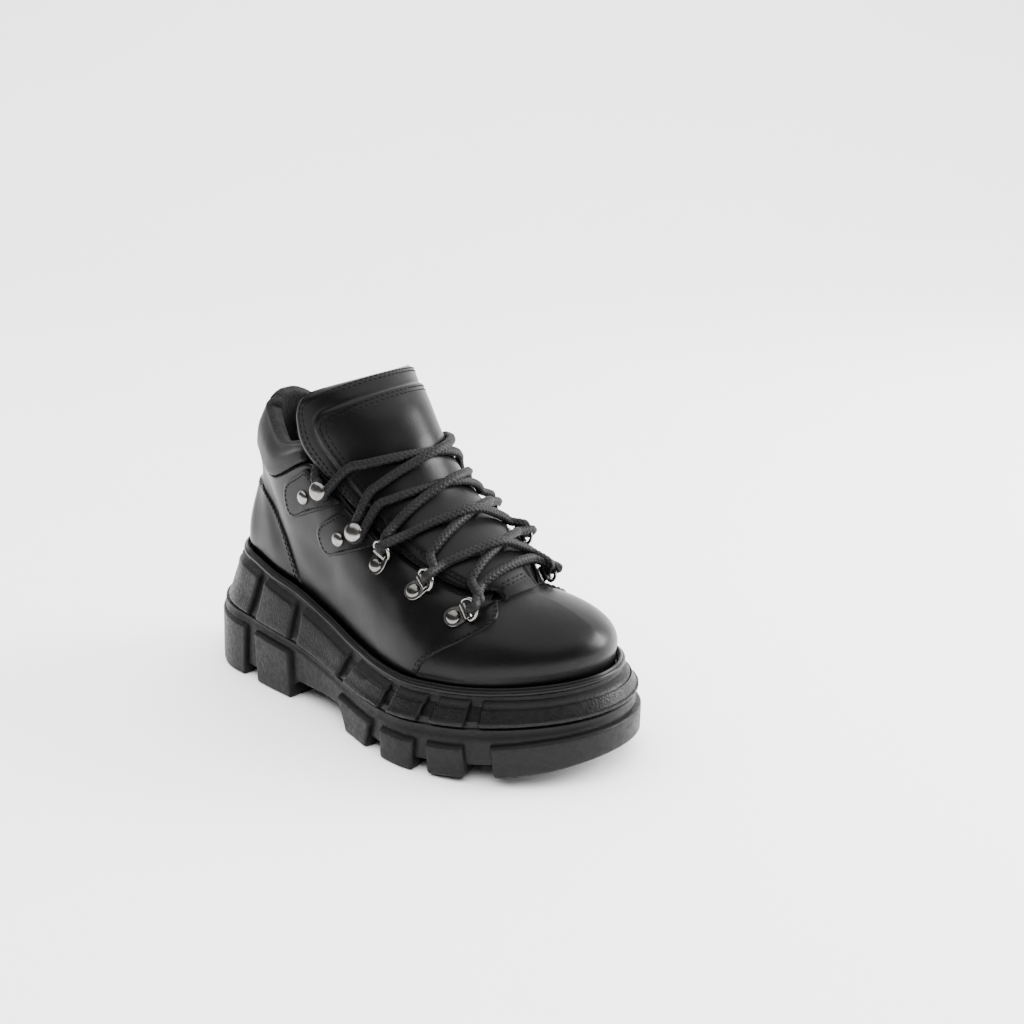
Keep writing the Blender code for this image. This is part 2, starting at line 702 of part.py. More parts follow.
def upper_faces(shares):
    """Outer and inner grids of the upper's wall, column by column all the way round."""
    sides_and_runs = loop_of(upper_runs())
    base = [upper_profile(run, side, shares) for side, run in sides_and_runs]
    normals = grid_normals(base, True)
    outer = []
    inner = []
    for (side, run), column, normal in zip(sides_and_runs, base, normals):
        steps = [0.0, 0.0] + [upper_step(run, share) for share in shares[1:]]
        outside = [p + n * s for p, n, s in zip(column, normal, steps)]
        inside = [p + n * (min(s, 0.0) - WALL) for p, n, s in zip(column, normal, steps)]
        for face in (outside, inside):
            face[0] = np.array([face[1][0], face[1][1], seat_height(face[1][0]) + FIT])
            if run <= CUFF_RUNS[-1]:
                face[-1] = np.array([face[-1][0], face[-1][1], column[-1][2]])
        outer.append(outside)
        inner.append(inside)
    return outer, inner


def make_upper(look):
    outer, inner = upper_faces(UPPER_SHARES)
    loops = [a + b[::-1] for a, b in zip(outer, inner)]
    return band_solid("upper", loops, look, sharp=40.0)


# ------------------------------------------------------------------ collar and tongue
def cuff_value(column, run):
    return spline(CUFF_RUNS, [getattr(row, column) for row in CUFF], run)


def make_collar(look):
    """Padded roll round the ankle, on the top edge of the upper."""
    end = CUFF_RUNS[-1]
    runs = [run for run in upper_runs() if run <= end]
    ordered = [(-1, run) for run in runs[::-1]] + [(1, run) for run in runs[1:]]
    feet = [top_edge(run, side) for side, run in ordered]
    along = np.gradient(np.array(feet), axis=0)
    loops = []
    for (side, run), foot, ahead in zip(ordered, feet, along):
        out = np.array([-ahead[1], ahead[0], 0.0])
        out /= np.linalg.norm(out)
        rise = MEDIAL_RISE * (run / end) ** 2 if side > 0 else 0.0
        rim = np.array([
            cuff_value("rim_x", run),
            THROAT_CENTRE + side * cuff_value("rim_half", run),
            cuff_value("rim_z", run) + rise,
        ])
        swell = cuff_value("swell", run)
        thick = CUFF_THICKNESS * (1 - 0.25 * (run / end) ** 4)
        height = rim[2] - foot[2]
        lift = np.array([0.0, 0.0, 1.0])
        seat = foot + lift * COLLAR_FIT
        body = foot + (rim - foot) * 0.55
        low = foot + (rim - foot) * 0.22
        loops.append([
            seat + out * COLLAR_STEP,
            low + out * (COLLAR_STEP + swell * 0.7),
            body + out * (COLLAR_STEP + swell),
            rim + out * thick * 0.46 - lift * min(4.5, height * 0.3),
            rim + out * thick * 0.25 - lift * 0.9,
            rim - out * thick * 0.2 - lift * 0.7,
            rim - out * thick * 0.48 - lift * min(4.0, height * 0.3),
            body + out * (COLLAR_STEP + swell - thick),
            low + out * (COLLAR_STEP + swell * 0.7 - thick),
            seat + out * (COLLAR_STEP - thick * 0.75),
        ])
    return band_solid("collar", loops, look, closed=False, sharp=45.0)


TONGUE_STEPS = list(range(len(TONGUE)))
TONGUE_ARC = math.radians(76)
TONGUE_CORNER = 0.45      # the rounding of the tongue's top corners, along it and across it
TONGUE_CORNER_CUT = 0.17


def tongue_point(u, v):
    """Point on the tongue's front: u counts its sections, v runs from -1 to 1 across."""
    value = {c: spline(TONGUE_STEPS, [getattr(r, c) for r in TONGUE], u) for c in TongueRow._fields}
    near_top = min(max((u - TONGUE_STEPS[-1]) / TONGUE_CORNER + 1, 0.0), 1.0)
    v *= 1 - TONGUE_CORNER_CUT * (1 - math.sqrt(1 - near_top ** 2))
    across = math.sin(v * TONGUE_ARC) / math.sin(TONGUE_ARC)
    crown = (math.cos(v * TONGUE_ARC) - math.cos(TONGUE_ARC)) / (1 - math.cos(TONGUE_ARC))
    rise = MEDIAL_RISE * 0.5 * (1 + across) * (1 - crown * 0.5)
    return np.array([
        value["edge_x"] + (value["crown_x"] - value["edge_x"]) * crown,
        THROAT_CENTRE + value["edge_half"] * across,
        value["edge_z"] + (value["crown_z"] - value["edge_z"]) * crown + rise,
    ])


def make_tongue(look):
    """Padded tongue, bent over the instep, with a raised panel inside its border."""
    last = TONGUE_STEPS[-1]
    us = [0.0, 0.45, 1.0, 1.7, 2.4, 3.1, 3.8, 4.5, 5.2, 5.9, last - 0.58, last - 0.5, last - 0.25, last - 0.1, last]
    vs = [-1.0, -0.86, -0.8, -0.55, -0.27, 0.0, 0.27, 0.55, 0.8, 0.86, 1.0]
    front = [[tongue_point(u, v) for v in vs] for u in us]
    normals = -grid_normals(front, False)
    outer = []
    inner = []
    for u, column, normal in zip(us, front, normals):
        raised_row = last - 0.55 > u
        outside = []
        inside = []
        for v, point, out in zip(vs, column, normal):
            step = TONGUE_PANEL_STEP if raised_row and abs(v) < 0.83 else 0.0
            outside.append(point + out * step)
            thick = TONGUE_THICKNESS * (1 - 0.45 * abs(v) ** 6)
            inside.append(point - out * thick)
        outer.append(outside)
        inner.append(inside)
    loops = [a + b[::-1] for a, b in zip(outer, inner)]
    return band_solid("tongue", loops, look, closed=False, sharp=45.0)


# ------------------------------------------------------------------ tabs, hooks and rings
def tree_of(made):
    """Ray-cast tree of an object, in millimetres."""
    points = [tuple(v.co / MM) for v in made.data.vertices]
    return BVHTree.FromPolygons(points, [tuple(face.vertices) for face in made.data.polygons])


def side_height(side, x, z):
    """The same place on the inner side lies a little higher."""
    if side < 0:
        return z
    return z + MEDIAL_RISE * float(np.interp(x, (-60, -40, 55, 80), (0, 1, 1, 0)))


def surface_at(tree, side, x, z):
    """Point and unit normal of a tree's outer face at x and z, looked at from the side."""
    start = Vector((x, side * 200.0, z))
    place, normal, _, _ = tree.ray_cast(start, Vector((0.0, -side, 0.0)))
    if normal.y * side < 0:
        normal = -normal
    return np.array(place), np.array(normal)


def rounded_outline(corners, count, bend):
    """Closed outline through four corners, the middle two rounded by a Bezier bend."""
    top, rear, foot, front = [np.array(c, float) for c in corners]
    points = [top + (rear - top) * t for t in (0.0, 0.3)]
    for before, corner, after in ((top, rear, foot), (rear, foot, front)):
        a = corner + (before - corner) * min(0.45, bend / np.linalg.norm(before - corner))
        b = corner + (after - corner) * min(0.45, bend / np.linalg.norm(after - corner))
        for i in range(count):
            t = i / (count - 1)
            points.append(a * (1 - t) ** 2 + corner * 2 * t * (1 - t) + b * t * t)
    points += [foot + (front - foot) * t for t in (0.65, 0.85, 1.0)]
    points += [front + (top - front) * t for t in (0.25, 0.5, 0.75)]
    return points


def make_tab(name, tree, side, tab, look):
    """Leather tab laid on the quarter, bent with it."""
    edge = rounded_outline(tab[1:], 5, 9.0)
    middle = sum(edge) / len(edge)
    rings = [[middle + (p - middle) * share for p in edge] for share in (1.0, 0.5)]
    count = len(edge)
    layers = []
    for lift in (TAB_FIT, TAB_FIT + TAB_THICKNESS):
        layer = []
        for x, z in [p for ring in rings for p in ring] + [middle]:
            place, normal = surface_at(tree, side, x, side_height(side, x, z))
            layer.append(place + normal * lift)
        layers.append(layer)
    size = len(layers[0])
    points = layers[0] + layers[1]
    faces = []
    for start in (0, size):
        for j in range(len(rings) - 1):
            for i in range(count):
                k = (i + 1) % count
                a = start + j * count
                faces.append((a + i, a + k, a + count + k, a + count + i))
        last = start + (len(rings) - 1) * count
        faces += [(last + i, last + (i + 1) % count, start + size - 1) for i in range(count)]
    faces += [(i, (i + 1) % count, size + (i + 1) % count, size + i) for i in range(count)]
    return add_object(name, points, faces, look, sharp=50.0)


def seat_on(tree, side, spot, ahead_runs, half):
    """Frame and origin of a flat-based piece: level with the surface under it, clear of it all over."""
    height = side_height(side, spot.x, spot.z)
    place, normal = surface_at(tree, side, spot.x, height)
    frame = local_frame(normal, spot.aim)
    for _ in range(2):
        ahead, across, out = frame
        under = []
        for run in ahead_runs:
            for shift in (-half, 0.0, half):
                start = place + ahead * run + across * shift + out * 6.0
                found = tree.ray_cast(Vector(start), Vector(-out), 12.0)[0]
                if found is not None:
                    under.append(np.array(found) - place)
        under = np.array(under)
        middle = under.mean(axis=0)
        tilt = np.linalg.svd(under - middle)[2][2]
        frame = local_frame(tilt * np.sign(np.dot(tilt, out)), spot.aim)
    rise = float(np.max(under @ frame[2]))
    return place + frame[2] * max(rise, 0.0), frame


def local_frame(normal, aim):
    """Directions on a surface: towards the throat by the aim from upright, across it, and out."""
    out = normal / np.linalg.norm(normal)
    wanted = np.array([math.sin(math.radians(aim)), 0.0, math.cos(math.radians(aim))])
    ahead = wanted - out * np.dot(wanted, out)
    ahead /= np.linalg.norm(ahead)
    return ahead, np.cross(out, ahead), out


def round_solid(name, origin, frame, form, look, count=12):
    """Solid turned round the outward axis from a form of (radius, height)."""
    ahead, across, out = frame
    points = []
    for radius, height in form:
        for i in range(count):
            turn = 2 * math.pi * i / count
            around = ahead * math.cos(turn) + across * math.sin(turn)
            points.append(origin + around * radius + out * height)
    rows = len(form)
    faces = [tuple(range(count)), tuple((rows - 1) * count + i for i in range(count))]
    for j in range(rows - 1):
        for i in range(count):
            k = (i + 1) % count
            faces.append((j * count + i, j * count + k, (j + 1) * count + k, (j + 1) * count + i))
    return add_object(name, points, faces, look, sharp=50.0)


def make_plate(name, origin, frame, look):
    """Rounded plate with a curl at its end that holds the ring's bar, and a domed rivet."""
    ahead, across, out = frame
    half = PLATE_THICKNESS / 2
    stations = []
    for run in (-4.7, -3.6, -2.0, 0.0):
        width = math.sqrt(max(PLATE_HALF ** 2 - run ** 2, 0.0))
        stations.append((run, half, 0.0, 1.0, width))
    curl = RING_WIRE + CURL_FIT + half
    stations.append((RING_REACH - 2.0, half, 0.0, 1.0, PLATE_NECK + 0.3))
    for i in range(9):
        turn = math.radians(-90 + 30 * i)
        run = RING_REACH + curl * math.cos(turn)
        height = half + curl + curl * math.sin(turn)
        stations.append((run, height, -math.cos(turn), -math.sin(turn), PLATE_NECK))
    loops = []
    for run, height, tip, lift, width in stations:
        centre = origin + ahead * run + out * height
        up = ahead * tip + out * lift
        loops.append([
            centre - up * half - across * width,
            centre - up * half + across * width,
            centre + up * half + across * width,
            centre + up * half - across * width,
        ])
    plate = band_solid(name, loops, look, closed=False)
    dome = round_solid(name + "_dome", origin, frame, PLATE_DOME, look, 8)
    return join(plate, [dome])


def ring_frame(origin, frame):
    """Middle of the ring's bar, and the direction in which the ring stands up from it."""
    ahead, across, out = frame
    bar = origin + ahead * RING_REACH + out * (PLATE_THICKNESS + CURL_FIT + RING_WIRE)
    tilt = math.radians(RING_TILT)
    return bar, ahead * math.cos(tilt) + out * math.sin(tilt)


def make_ring(name, origin, frame, look):
    """D-shaped wire ring, its straight bar inside the plate's curl."""
    across = frame[1]
    bar, stand = ring_frame(origin, frame)
    path = [(1.2 - RING_HALF, 0.0), (RING_HALF - 1.2, 0.0), (RING_HALF - 0.3, 0.6), (RING_HALF, 1.8)]
    for i in range(6):
        turn = math.radians(15 + 30 * i)
        path.append((RING_HALF * math.cos(turn), 2.4 + (RING_DEPTH - 2.4) * math.sin(turn)))
    path += [(-RING_HALF, 1.8), (0.3 - RING_HALF, 0.6)]
    middles = [bar + across * x + stand * y for x, y in path]
    return add_tube(name, middles, RING_WIRE, look, closed=True, count=6)


def add_tube(name, middles, radius, look, closed=False, count=6):
    """Round bar along a path."""
    middles = np.array(middles)
    if closed:
        along = np.roll(middles, -1, axis=0) - np.roll(middles, 1, axis=0)
    else:
        along = np.gradient(middles, axis=0)
    along /= np.linalg.norm(along, axis=1, keepdims=True)
    spare = middles - middles.mean(axis=0)
    axis = np.linalg.svd(spare)[2][2]
    side = axis - along[0] * np.dot(axis, along[0])
    loops = []
    for middle, ahead in zip(middles, along):
        side = side - ahead * np.dot(side, ahead)
        side /= np.linalg.norm(side)
        other = np.cross(ahead, side)
        turns = [2 * math.pi * i / count for i in range(count)]
        loops.append([middle + (side * math.cos(t) + other * math.sin(t)) * radius for t in turns])
    return band_solid(name, loops, look, closed=closed, sharp=70.0)


# ------------------------------------------------------------------ lace
def tongue_normal(u, v):
    step = 0.02
    across = tongue_point(u, v + step) - tongue_point(u, v - step)
    up = tongue_point(u + step, v) - tongue_point(u - step, v)
    normal = np.cross(across, up)
    return normal / np.linalg.norm(normal)


def make_run(name, run, look):
    """One run of the lace over the tongue, from its outer side to its inner side."""
    middles = []
    for i in range(LACE_STEPS):
        t = i / (LACE_STEPS - 1)
        u = run.outer + (run.inner - run.outer) * t
        v = LACE_REACH * (2 * t - 1)
        lift = TONGUE_PANEL_STEP + LACE_RADIUS + LACE_FIT
        if run.over:
            lift += LACE_OVER * LACE_RADIUS * math.exp(-((t - 0.5) / 0.16) ** 2)
        middles.append(tongue_point(u, v) + tongue_normal(u, v) * lift)
    return add_tube(name, middles, LACE_RADIUS, look)


def make_laces():
    make_run("lace_bar", LACE_BAR, material("lace bar", (0.018, 0.018, 0.02), 0.8))
    for i, (under, over) in enumerate(LACE_CROSSES):
        name = "lace_cross_%d" % (i + 1)
        look = material(name.replace("_", " "), (0.018, 0.018, 0.02), 0.8)
        join(make_run(name, under, look), [make_run(name + "_over", over, look)])


def make_hardware(upper):
    """Tabs, hooks and rivets near the collar, and the D-rings down the throat, on both sides."""
    upper_tree = tree_of(upper)
    for side, word in ((-1, "outer"), (1, "inner")):
        for tab, hook, rivet in zip(TABS, HOOKS, RIVETS):
            end = "_%s_%s" % (tab.name, word)
            leather = material("tab leather" + end, (0.032, 0.033, 0.036), 0.46)
            made = make_tab("tab" + end, upper_tree, side, tab, leather)
            tree = tree_of(made)
            for kind, spot, form, count in (("hook", hook, HOOK_FORM, 10), ("rivet", rivet, DOME, 10)):
                place, frame = seat_on(tree, side, spot, (-2.8, 0.0, 2.8), 2.8)
                metal = material(kind + end, METAL_COLOUR, 0.25, 1.0)
                round_solid(kind + end, place + frame[2] * METAL_FIT, frame, form, metal, count)
        for spot in RINGS:
            end = "_%s_%s" % (spot.name, word)
            place, frame = seat_on(upper_tree, side, spot, PLATE_RUNS, PLATE_NECK)
            origin = place + frame[2] * SEAT_FIT
            make_plate("plate" + end, origin, frame, material("plate" + end, METAL_COLOUR, 0.25, 1.0))
            make_ring("ring" + end, origin, frame, material("ring" + end, METAL_COLOUR, 0.22, 1.0))


# ------------------------------------------------------------------ the shoe
def main():
    for old in list(bpy.data.objects):
        bpy.data.objects.remove(old, do_unlink=True)
    tread = material("outsole rubber", (0.028, 0.029, 0.031), 0.6)
    join(make_outsole(tread), make_bars(tread))
    blocks = material("midsole rubber", (0.03, 0.031, 0.033), 0.6)
    join(make_midsole(blocks), make_heel_ribs(blocks))
    make_welt(material("welt rubber", (0.022, 0.023, 0.025), 0.42))
    make_insole(material("insole lining", (0.016, 0.016, 0.018), 0.9))
    upper = make_upper(material("upper leather", (0.03, 0.031, 0.034), 0.46))
    make_collar(material("collar leather", (0.028, 0.029, 0.032), 0.48))
    make_tongue(material("tongue leather", (0.03, 0.031, 0.034), 0.46))
    make_hardware(upper)
    make_laces()


main()
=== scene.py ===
"""Chunky lace-up platform sneaker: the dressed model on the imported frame.

Tables are in millimetres, as in the part's source; every piece is made in metres.
A side is -1 on the shoe's outer side and 1 on its inner one.
"""
import math
from bisect import bisect_left
from collections import namedtuple
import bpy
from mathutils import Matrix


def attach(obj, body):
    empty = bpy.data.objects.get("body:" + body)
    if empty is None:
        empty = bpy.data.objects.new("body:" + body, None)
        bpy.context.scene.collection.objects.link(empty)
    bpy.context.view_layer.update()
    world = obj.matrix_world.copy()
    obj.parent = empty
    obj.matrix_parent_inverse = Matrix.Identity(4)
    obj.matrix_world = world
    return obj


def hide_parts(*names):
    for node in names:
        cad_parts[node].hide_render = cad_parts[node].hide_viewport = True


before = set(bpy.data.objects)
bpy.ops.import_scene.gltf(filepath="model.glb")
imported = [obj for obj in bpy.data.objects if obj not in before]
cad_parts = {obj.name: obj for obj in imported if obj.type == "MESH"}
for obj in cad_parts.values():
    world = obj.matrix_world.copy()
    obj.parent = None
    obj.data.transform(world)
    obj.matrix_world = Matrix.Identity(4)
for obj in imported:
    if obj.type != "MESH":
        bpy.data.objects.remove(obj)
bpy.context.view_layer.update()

from types import SimpleNamespace

import bmesh
import bpy
import numpy as np
from mathutils import Vector
from mathutils.bvhtree import BVHTree

MM = 0.001
UP = np.array([0.0, 0.0, 1.0])
SIDES = ((-1, "outer"), (1, "inner"))

# ------------------------------------------------------------------ driving sizes (mm)
LENGTH = 290.0            # of the sole, heel to toe
HALF_LENGTH = LENGTH / 2
HEEL_ROUND = 41.0         # length of the round back of the sole
TOE_ROUND = 72.0          # length of the round front of the sole
FIT = 0.3                 # gap between pieces that touch
CURVED_FIT = 0.45         # the same where both faces are curved
WALL = 2.0                # leather with its lining
SIDE_GROOVE = 3.4         # depth of the grooves in the side of the sole
EDGE = 0.8                # run of a lug's or block's flank
COLUMN_STEP = 2.6         # between the even columns of the sole's sides
LUG_RING = 25.0           # width of the lugs under the edge of the sole
WELT_HEIGHT = 4.6
WELT_WIDTH = 3.6
WELT_INSET = 0.9          # from the rim of the midsole
COUNTER_STEP = 0.8        # heel counter, proud of the quarter
COUNTER_TOP = 0.69        # its top edge, as a share of the height of the upper
COUNTER_CORNER = 13.0     # radius of its upper corners
HEEL_COLUMN = 85.0        # length of the upper's columns at the heel
COLLAR_STEP = 0.8         # collar, proud of the quarter
TOE_STEP = 0.9            # toe cap, below the quarter
INSOLE_HEIGHT = 4.5
FEATHER_FIT = 0.7         # gap between the welt and the foot of the upper
COLLAR_FIT = 0.75         # gap under the collar, whose seat is wider than the upper's edge
CUFF_THICKNESS = 9.0
TONGUE_THICKNESS = 7.0
TONGUE_PANEL_STEP = 1.4
TONGUE_ARC = math.radians(76)
TONGUE_CORNER = 0.45      # the rounding of the tongue's top corners, along it and across it
TONGUE_CORNER_CUT = 0.17
PANEL_EDGE_V = 0.845      # side edge of the tongue's panel, and its corners
PANEL_CORNER = 9.0
TONGUE_SPAN = 60.0        # half width of the tongue's face along the surface, and length of a section
SECTION_SPAN = 23.0
THROAT_CENTRE = 4.5
MEDIAL_RISE = 3.0         # how much higher the instep lies on its inner side
LACE_RADIUS = 2.4
LACE_OVER = 1.75          # how far a run is lifted where it crosses over another, in lace radii
LACE_REACH = 0.86         # how far across the tongue a run keeps to it
TAB_THICKNESS = 1.5       # leather tab under a hook, and how far its face is puffed
TAB_PUFF = 0.75
TAB_SLOPE = 22.0          # reach of the tab's edge, over which its outline shrinks
PLATE_THICKNESS = 0.9     # of a D-ring's plate, and its half widths
PLATE_HALF = 5.0
PLATE_NECK = 4.2
PLATE_RUNS = (-4.6, -3.0, -1.0, 1.0, 3.0, 5.0, 7.5)   # where its underside is seated
CURL_FIT = 0.5
RING_REACH = 7.0          # from the plate's rivet to the ring's straight bar
RING_WIRE = 0.95
RING_HALF = 5.6
RING_DEPTH = 7.4
RING_TILT = math.radians(40.0)   # up from the plate
HEEL_RIBS = 3             # level ribs across the back of the heel
HEEL_RIB_TURN = 0.52      # how far round each rib runs, as a turn of the sole's edge
HEEL_RIB_HEIGHT = 5.0
HEEL_RIB_DEPTH = 2.4


def table(fields, *rows):
    """Rows of numbers with named columns."""
    row_type = namedtuple("Row", fields)
    return [row_type(*row) for row in rows]


SOLE = table(
    "x centre half lug_head block_foot block_head rim foot_inset rim_inset",
    (-145, 4.5, 41, 36.0, 43.5, 71.5, 78.5, 7.0, 20.5), (-125, 4.5, 41, 34.0, 41.5, 70.0, 77.0, 5.0, 16.5),
    (-100, 3.5, 41.0, 32.5, 39.5, 67.5, 74.5, 2.2, 10.5), (-75, 1.5, 42.0, 31.0, 37.5, 63.5, 70.5, 1.2, 7.5),
    (-50, -0.5, 42.0, 28.5, 35.0, 57.5, 65.5, 1.2, 7.5), (-25, -1.5, 43.5, 23.0, 30.5, 50.0, 57.5, 1.2, 7.5),
    (0, -2.5, 48.5, 18.8, 27.0, 43.5, 50.8, 1.2, 8.0), (25, -3.0, 55.0, 17.5, 26.5, 40.8, 47.8, 1.2, 8.5),
    (50, -2.0, 59.5, 17.5, 27.2, 40.2, 47.2, 1.2, 8.5), (75, 1.5, 59.5, 19.0, 29.0, 41.5, 48.3, 1.2, 8.5),
    (100, 5.5, 59.0, 22.0, 31.5, 43.5, 50.5, 1.2, 8.5), (125, 8.0, 58.5, 26.5, 34.5, 46.0, 53.5, 1.5, 9.0),
    (145, 8.5, 58.0, 30.0, 37.0, 49.0, 56.5, 2.0, 9.5),
)
# Height of the lugs' feet, and of the grooves between them, along the shoe.
GROUND_X = (-145, -134, -122, -54, -50, -10, -5, 58, 72, 90, 108, 127, 145)
GROUND_Z = (5.0, 1.2, 0.0, 0.0, 0.0, 0.0, 0.0, 0.0, 1.4, 3.4, 5.6, 9.6, 15.5)
TREAD_Z = (11.0, 8.0, 6.5, 6.5, 11.0, 11.0, 6.5, 6.5, 7.8, 9.6, 11.8, 15.4, 20.5)

# Runs of the side features along the length: foot and head of their rear and front flanks.
FLANKS = "rear_foot rear_head front_foot front_head"
LUGS = table(FLANKS, (-145, -145, -99, -96), (-86, -86, -53.5, -53.5), (0, -6, 23, 27), (36, 37, 60, 61),
             (69, 69, 90, 89), (104, 103, 145, 145))
BLOCKS = table(FLANKS, (-129, -124, -95, -87), (-86, -80, -55, -52), (-47, -45, -9, -3), (-2, 6, 33, 37),
               (41, 44, 62, 66), (70, 73, 89, 91), (97, 98, 145, 145))
# Cross bars of the tread between the rings of lugs: their ends along the shoe and half width.
BARS = table("rear front half", (-104, -92, 11), (-86, -74, 13), (-68, -56, 13), (0, 13, 21), (20, 34, 26),
             (41, 55, 29), (62, 76, 29), (83, 97, 27))

# Columns of the upper: from the feather line at base_x to a point on its top edge, bent like
# a Bezier curve: rise and out of the lower handle, run back to the base, rise and out of the upper.
UPPER = table(
    "base_x top_x top_half top_z rise out lean up_rise up_out",
    (-145, -107.0, 0.0, 133.5, 20, 2.0, 0.10, -20, 2.0), (-122, -106.3, 6.0, 133.3, 20, 2.0, 0.10, -20, 2.0),
    (-92, -104.4, 11.5, 132.8, 20, 2.5, 0.20, -20, 2.5), (-60, -100.5, 17.5, 131.3, 20, 3.5, 0.30, -19, 3.5),
    (-38, -71.0, 34.0, 126.5, 20, 3.5, 0.30, -20, 3.5), (-20, -38.5, 39.0, 141.0, 24, 3.0, 0.25, -20, 3.5),
    (-8, -27.0, 38.0, 137.0, 24, 3.0, 0.15, -18, 4.5), (8, -5.0, 37.5, 120.5, 23, 3.0, 0.10, -14, 6.5),
    (24, 19.0, 37.0, 105.5, 21, 3.0, 0.15, -9, 6.5), (40, 44.0, 34.5, 95.0, 19, 3.5, 0.25, -4, 6.0),
    (53, 65.0, 29.0, 87.5, 19, 3.5, 0.35, 1, 3.0), (62, 75.5, 19.5, 85.0, 19.5, 4.3, 0.41, 0.2, 0.0),
    (80, 79.5, 12.0, 86.0, 19.5, 6.7, 0.44, -1.0, 0.0), (105, 81.5, 6.0, 87.0, 19.7, 11.7, 0.41, -0.6, 0.0),
    (145, 82.0, 0.0, 87.3, 22.8, 16.9, 0.39, 1.0, 0.0),
)
COUNTER_SEAM_X = -53.5    # base of the seams
TOE_SEAM_X = 54.0
# How far the seams lean along the foot, towards the toe, at shares of the upper's height.
SEAMS = table(
    "share counter toe",
    (0.0, 0.0, 0.0), (0.12, 0.0, 3.0), (0.23, 0.0, 8.0), (0.35, 0.0, 17.0), (0.45, -0.5, 27.0),
    (0.55, -3.0, 36.5), (0.63, -9.0, 41.0), (0.70, -20.0, 40.0), (0.80, -10.0, 33.0), (1.0, 0.0, 15.0),
)
COUNTER_REACH = (70.0, 40.0)   # how far the lean spreads, towards the heel and towards the toe
TOE_REACH = (64.0, 118.0)

# Padded collar: its rim above the top edge of the upper, a row for each place along that edge.
CUFF = table(
    "base_x rim_x rim_half rim_z swell",
    (-145, -96.5, 0.0, 168.0, 3.4), (-122, -96.0, 5.5, 167.5, 3.4), (-92, -95.0, 10.0, 165.5, 3.4),
    (-60, -91.0, 16.0, 160.0, 3.4), (-38, -66.0, 29.0, 148.0, 3.2), (-20, -42.5, 34.5, 153.0, 2.4),
)
# Tongue: edge and crown of each section, from the toe end up.
TONGUE = table(
    "edge_x edge_half edge_z crown_x crown_z",
    (73.0, 12.5, 87.0, 78.0, 88.0), (64.0, 25.0, 89.0, 68.0, 97.0), (44.0, 33.0, 96.5, 51.0, 109.5),
    (19.0, 35.6, 107.0, 32.0, 125.0), (-5.0, 37.0, 122.0, 20.0, 140.5), (-28.5, 39.5, 139.0, 11.0, 157.0),
    (-39.0, 43.0, 154.0, 0.0, 173.0), (-41.0, 44.0, 176.5, -17.0, 189.0),
)
# Leather tabs under the hooks: corners as (x, z) on the quarter, first and last on the throat's
# edge. Rounded corners follow the second and third.
TABS = table("name corners", ("upper", ((-37.5, 138.5), (-59.5, 125.0), (-55.0, 106.0), (-12.5, 124.0))),
             ("lower", ((-9.0, 121.5), (-30.5, 107.0), (-23.5, 91.5), (14.5, 106.5))))
SPOT = "name x z aim"
HOOKS = table(SPOT, ("upper", -23.5, 129.5, 40.0), ("lower", 2.5, 111.5, 35.0))
RIVETS = table(SPOT, ("upper", -38.5, 122.8, 0.0), ("lower", -9.6, 105.8, 0.0))
RINGS = table(SPOT, ("3", 16.9, 97.0, 24.0), ("2", 42.8, 88.6, 38.0), ("1", 66.0, 78.6, 52.0))
# Lace: where each run meets the tongue's two sides, in sections of the tongue; then the crossings.
LACE_BAR, *LACE_RUNS = table(
    "outer inner over", (0.78, 0.78, False), (1.02, 1.86, False), (1.86, 1.02, True), (2.1, 2.86, False),
    (2.86, 2.1, True), (3.78, 3.1, False), (3.1, 3.78, True), (4.85, 4.02, False), (4.02, 4.85, True),
)
# Soft creases of the leather: ends as (x, z) on the side of the shoe, width, and height out of it.
CREASES = table(
    "x1 z1 x2 z2 width height", (-52, 96, -20, 84, 9.0, -0.7), (-30, 78, 14, 82, 10.0, 0.5),
    (2, 92, 34, 78, 7.0, -0.5), (34, 84, 50, 66, 7.0, 0.45), (-84, 116, -70, 92, 8.0, -0.45),
)
# Rounded flanks: run from the foot and share of the full height, for a lug's or block's side, for
# a block's head, and for the edge of a leather piece that lies over another.
BIT = "run share"
FLANK = table(BIT, (0.0, 0.0), (0.3, 0.3), (0.55, 0.58), (0.85, 0.79), (1.3, 0.92), (2.0, 0.985), (2.8, 1.0))
HEAD = table(BIT, (0.0, 0.0), (0.5, 0.17), (1.2, 0.42), (2.0, 0.69), (2.7, 0.88), (3.4, 0.965), (4.3, 1.0))
SEAM_EDGE = table(BIT, (-2.6, 1.0), (-1.5, 1.0), (-0.8, 0.97), (-0.35, 0.82), (-0.05, 0.5), (0.15, 0.0),
                  (0.55, -0.14), (1.2, -0.05), (2.2, 0.0))
# Section of the welt: inset and share of its height. Tab's edge: share of its outline and lift.
BEAD = (
    (0.5, 0.02), (0.0, 0.02), (-0.5, 0.1), (-0.85, 0.24), (-0.92, 0.4), (-0.7, 0.56), (-0.25, 0.68),
    (0.2, 0.735), (0.5, 0.72), (0.62, 0.77), (0.72, 0.9), (1.0, 0.985), (1.4, 1.0), (1.8, 0.97), (2.05, 0.87),
    (2.15, 0.66), (2.3, 0.48), (2.6, 0.5), (2.85, 0.56), (3.1, 0.5), (3.3, 0.36), (3.6, 0.3), (3.6, 0.0),
)
TAB_EDGE = ((1.0, 0.0), (1.006, 0.5), (1.01, 1.3), (1.0, 1.9), (0.975, 2.25), (0.94, 2.3))
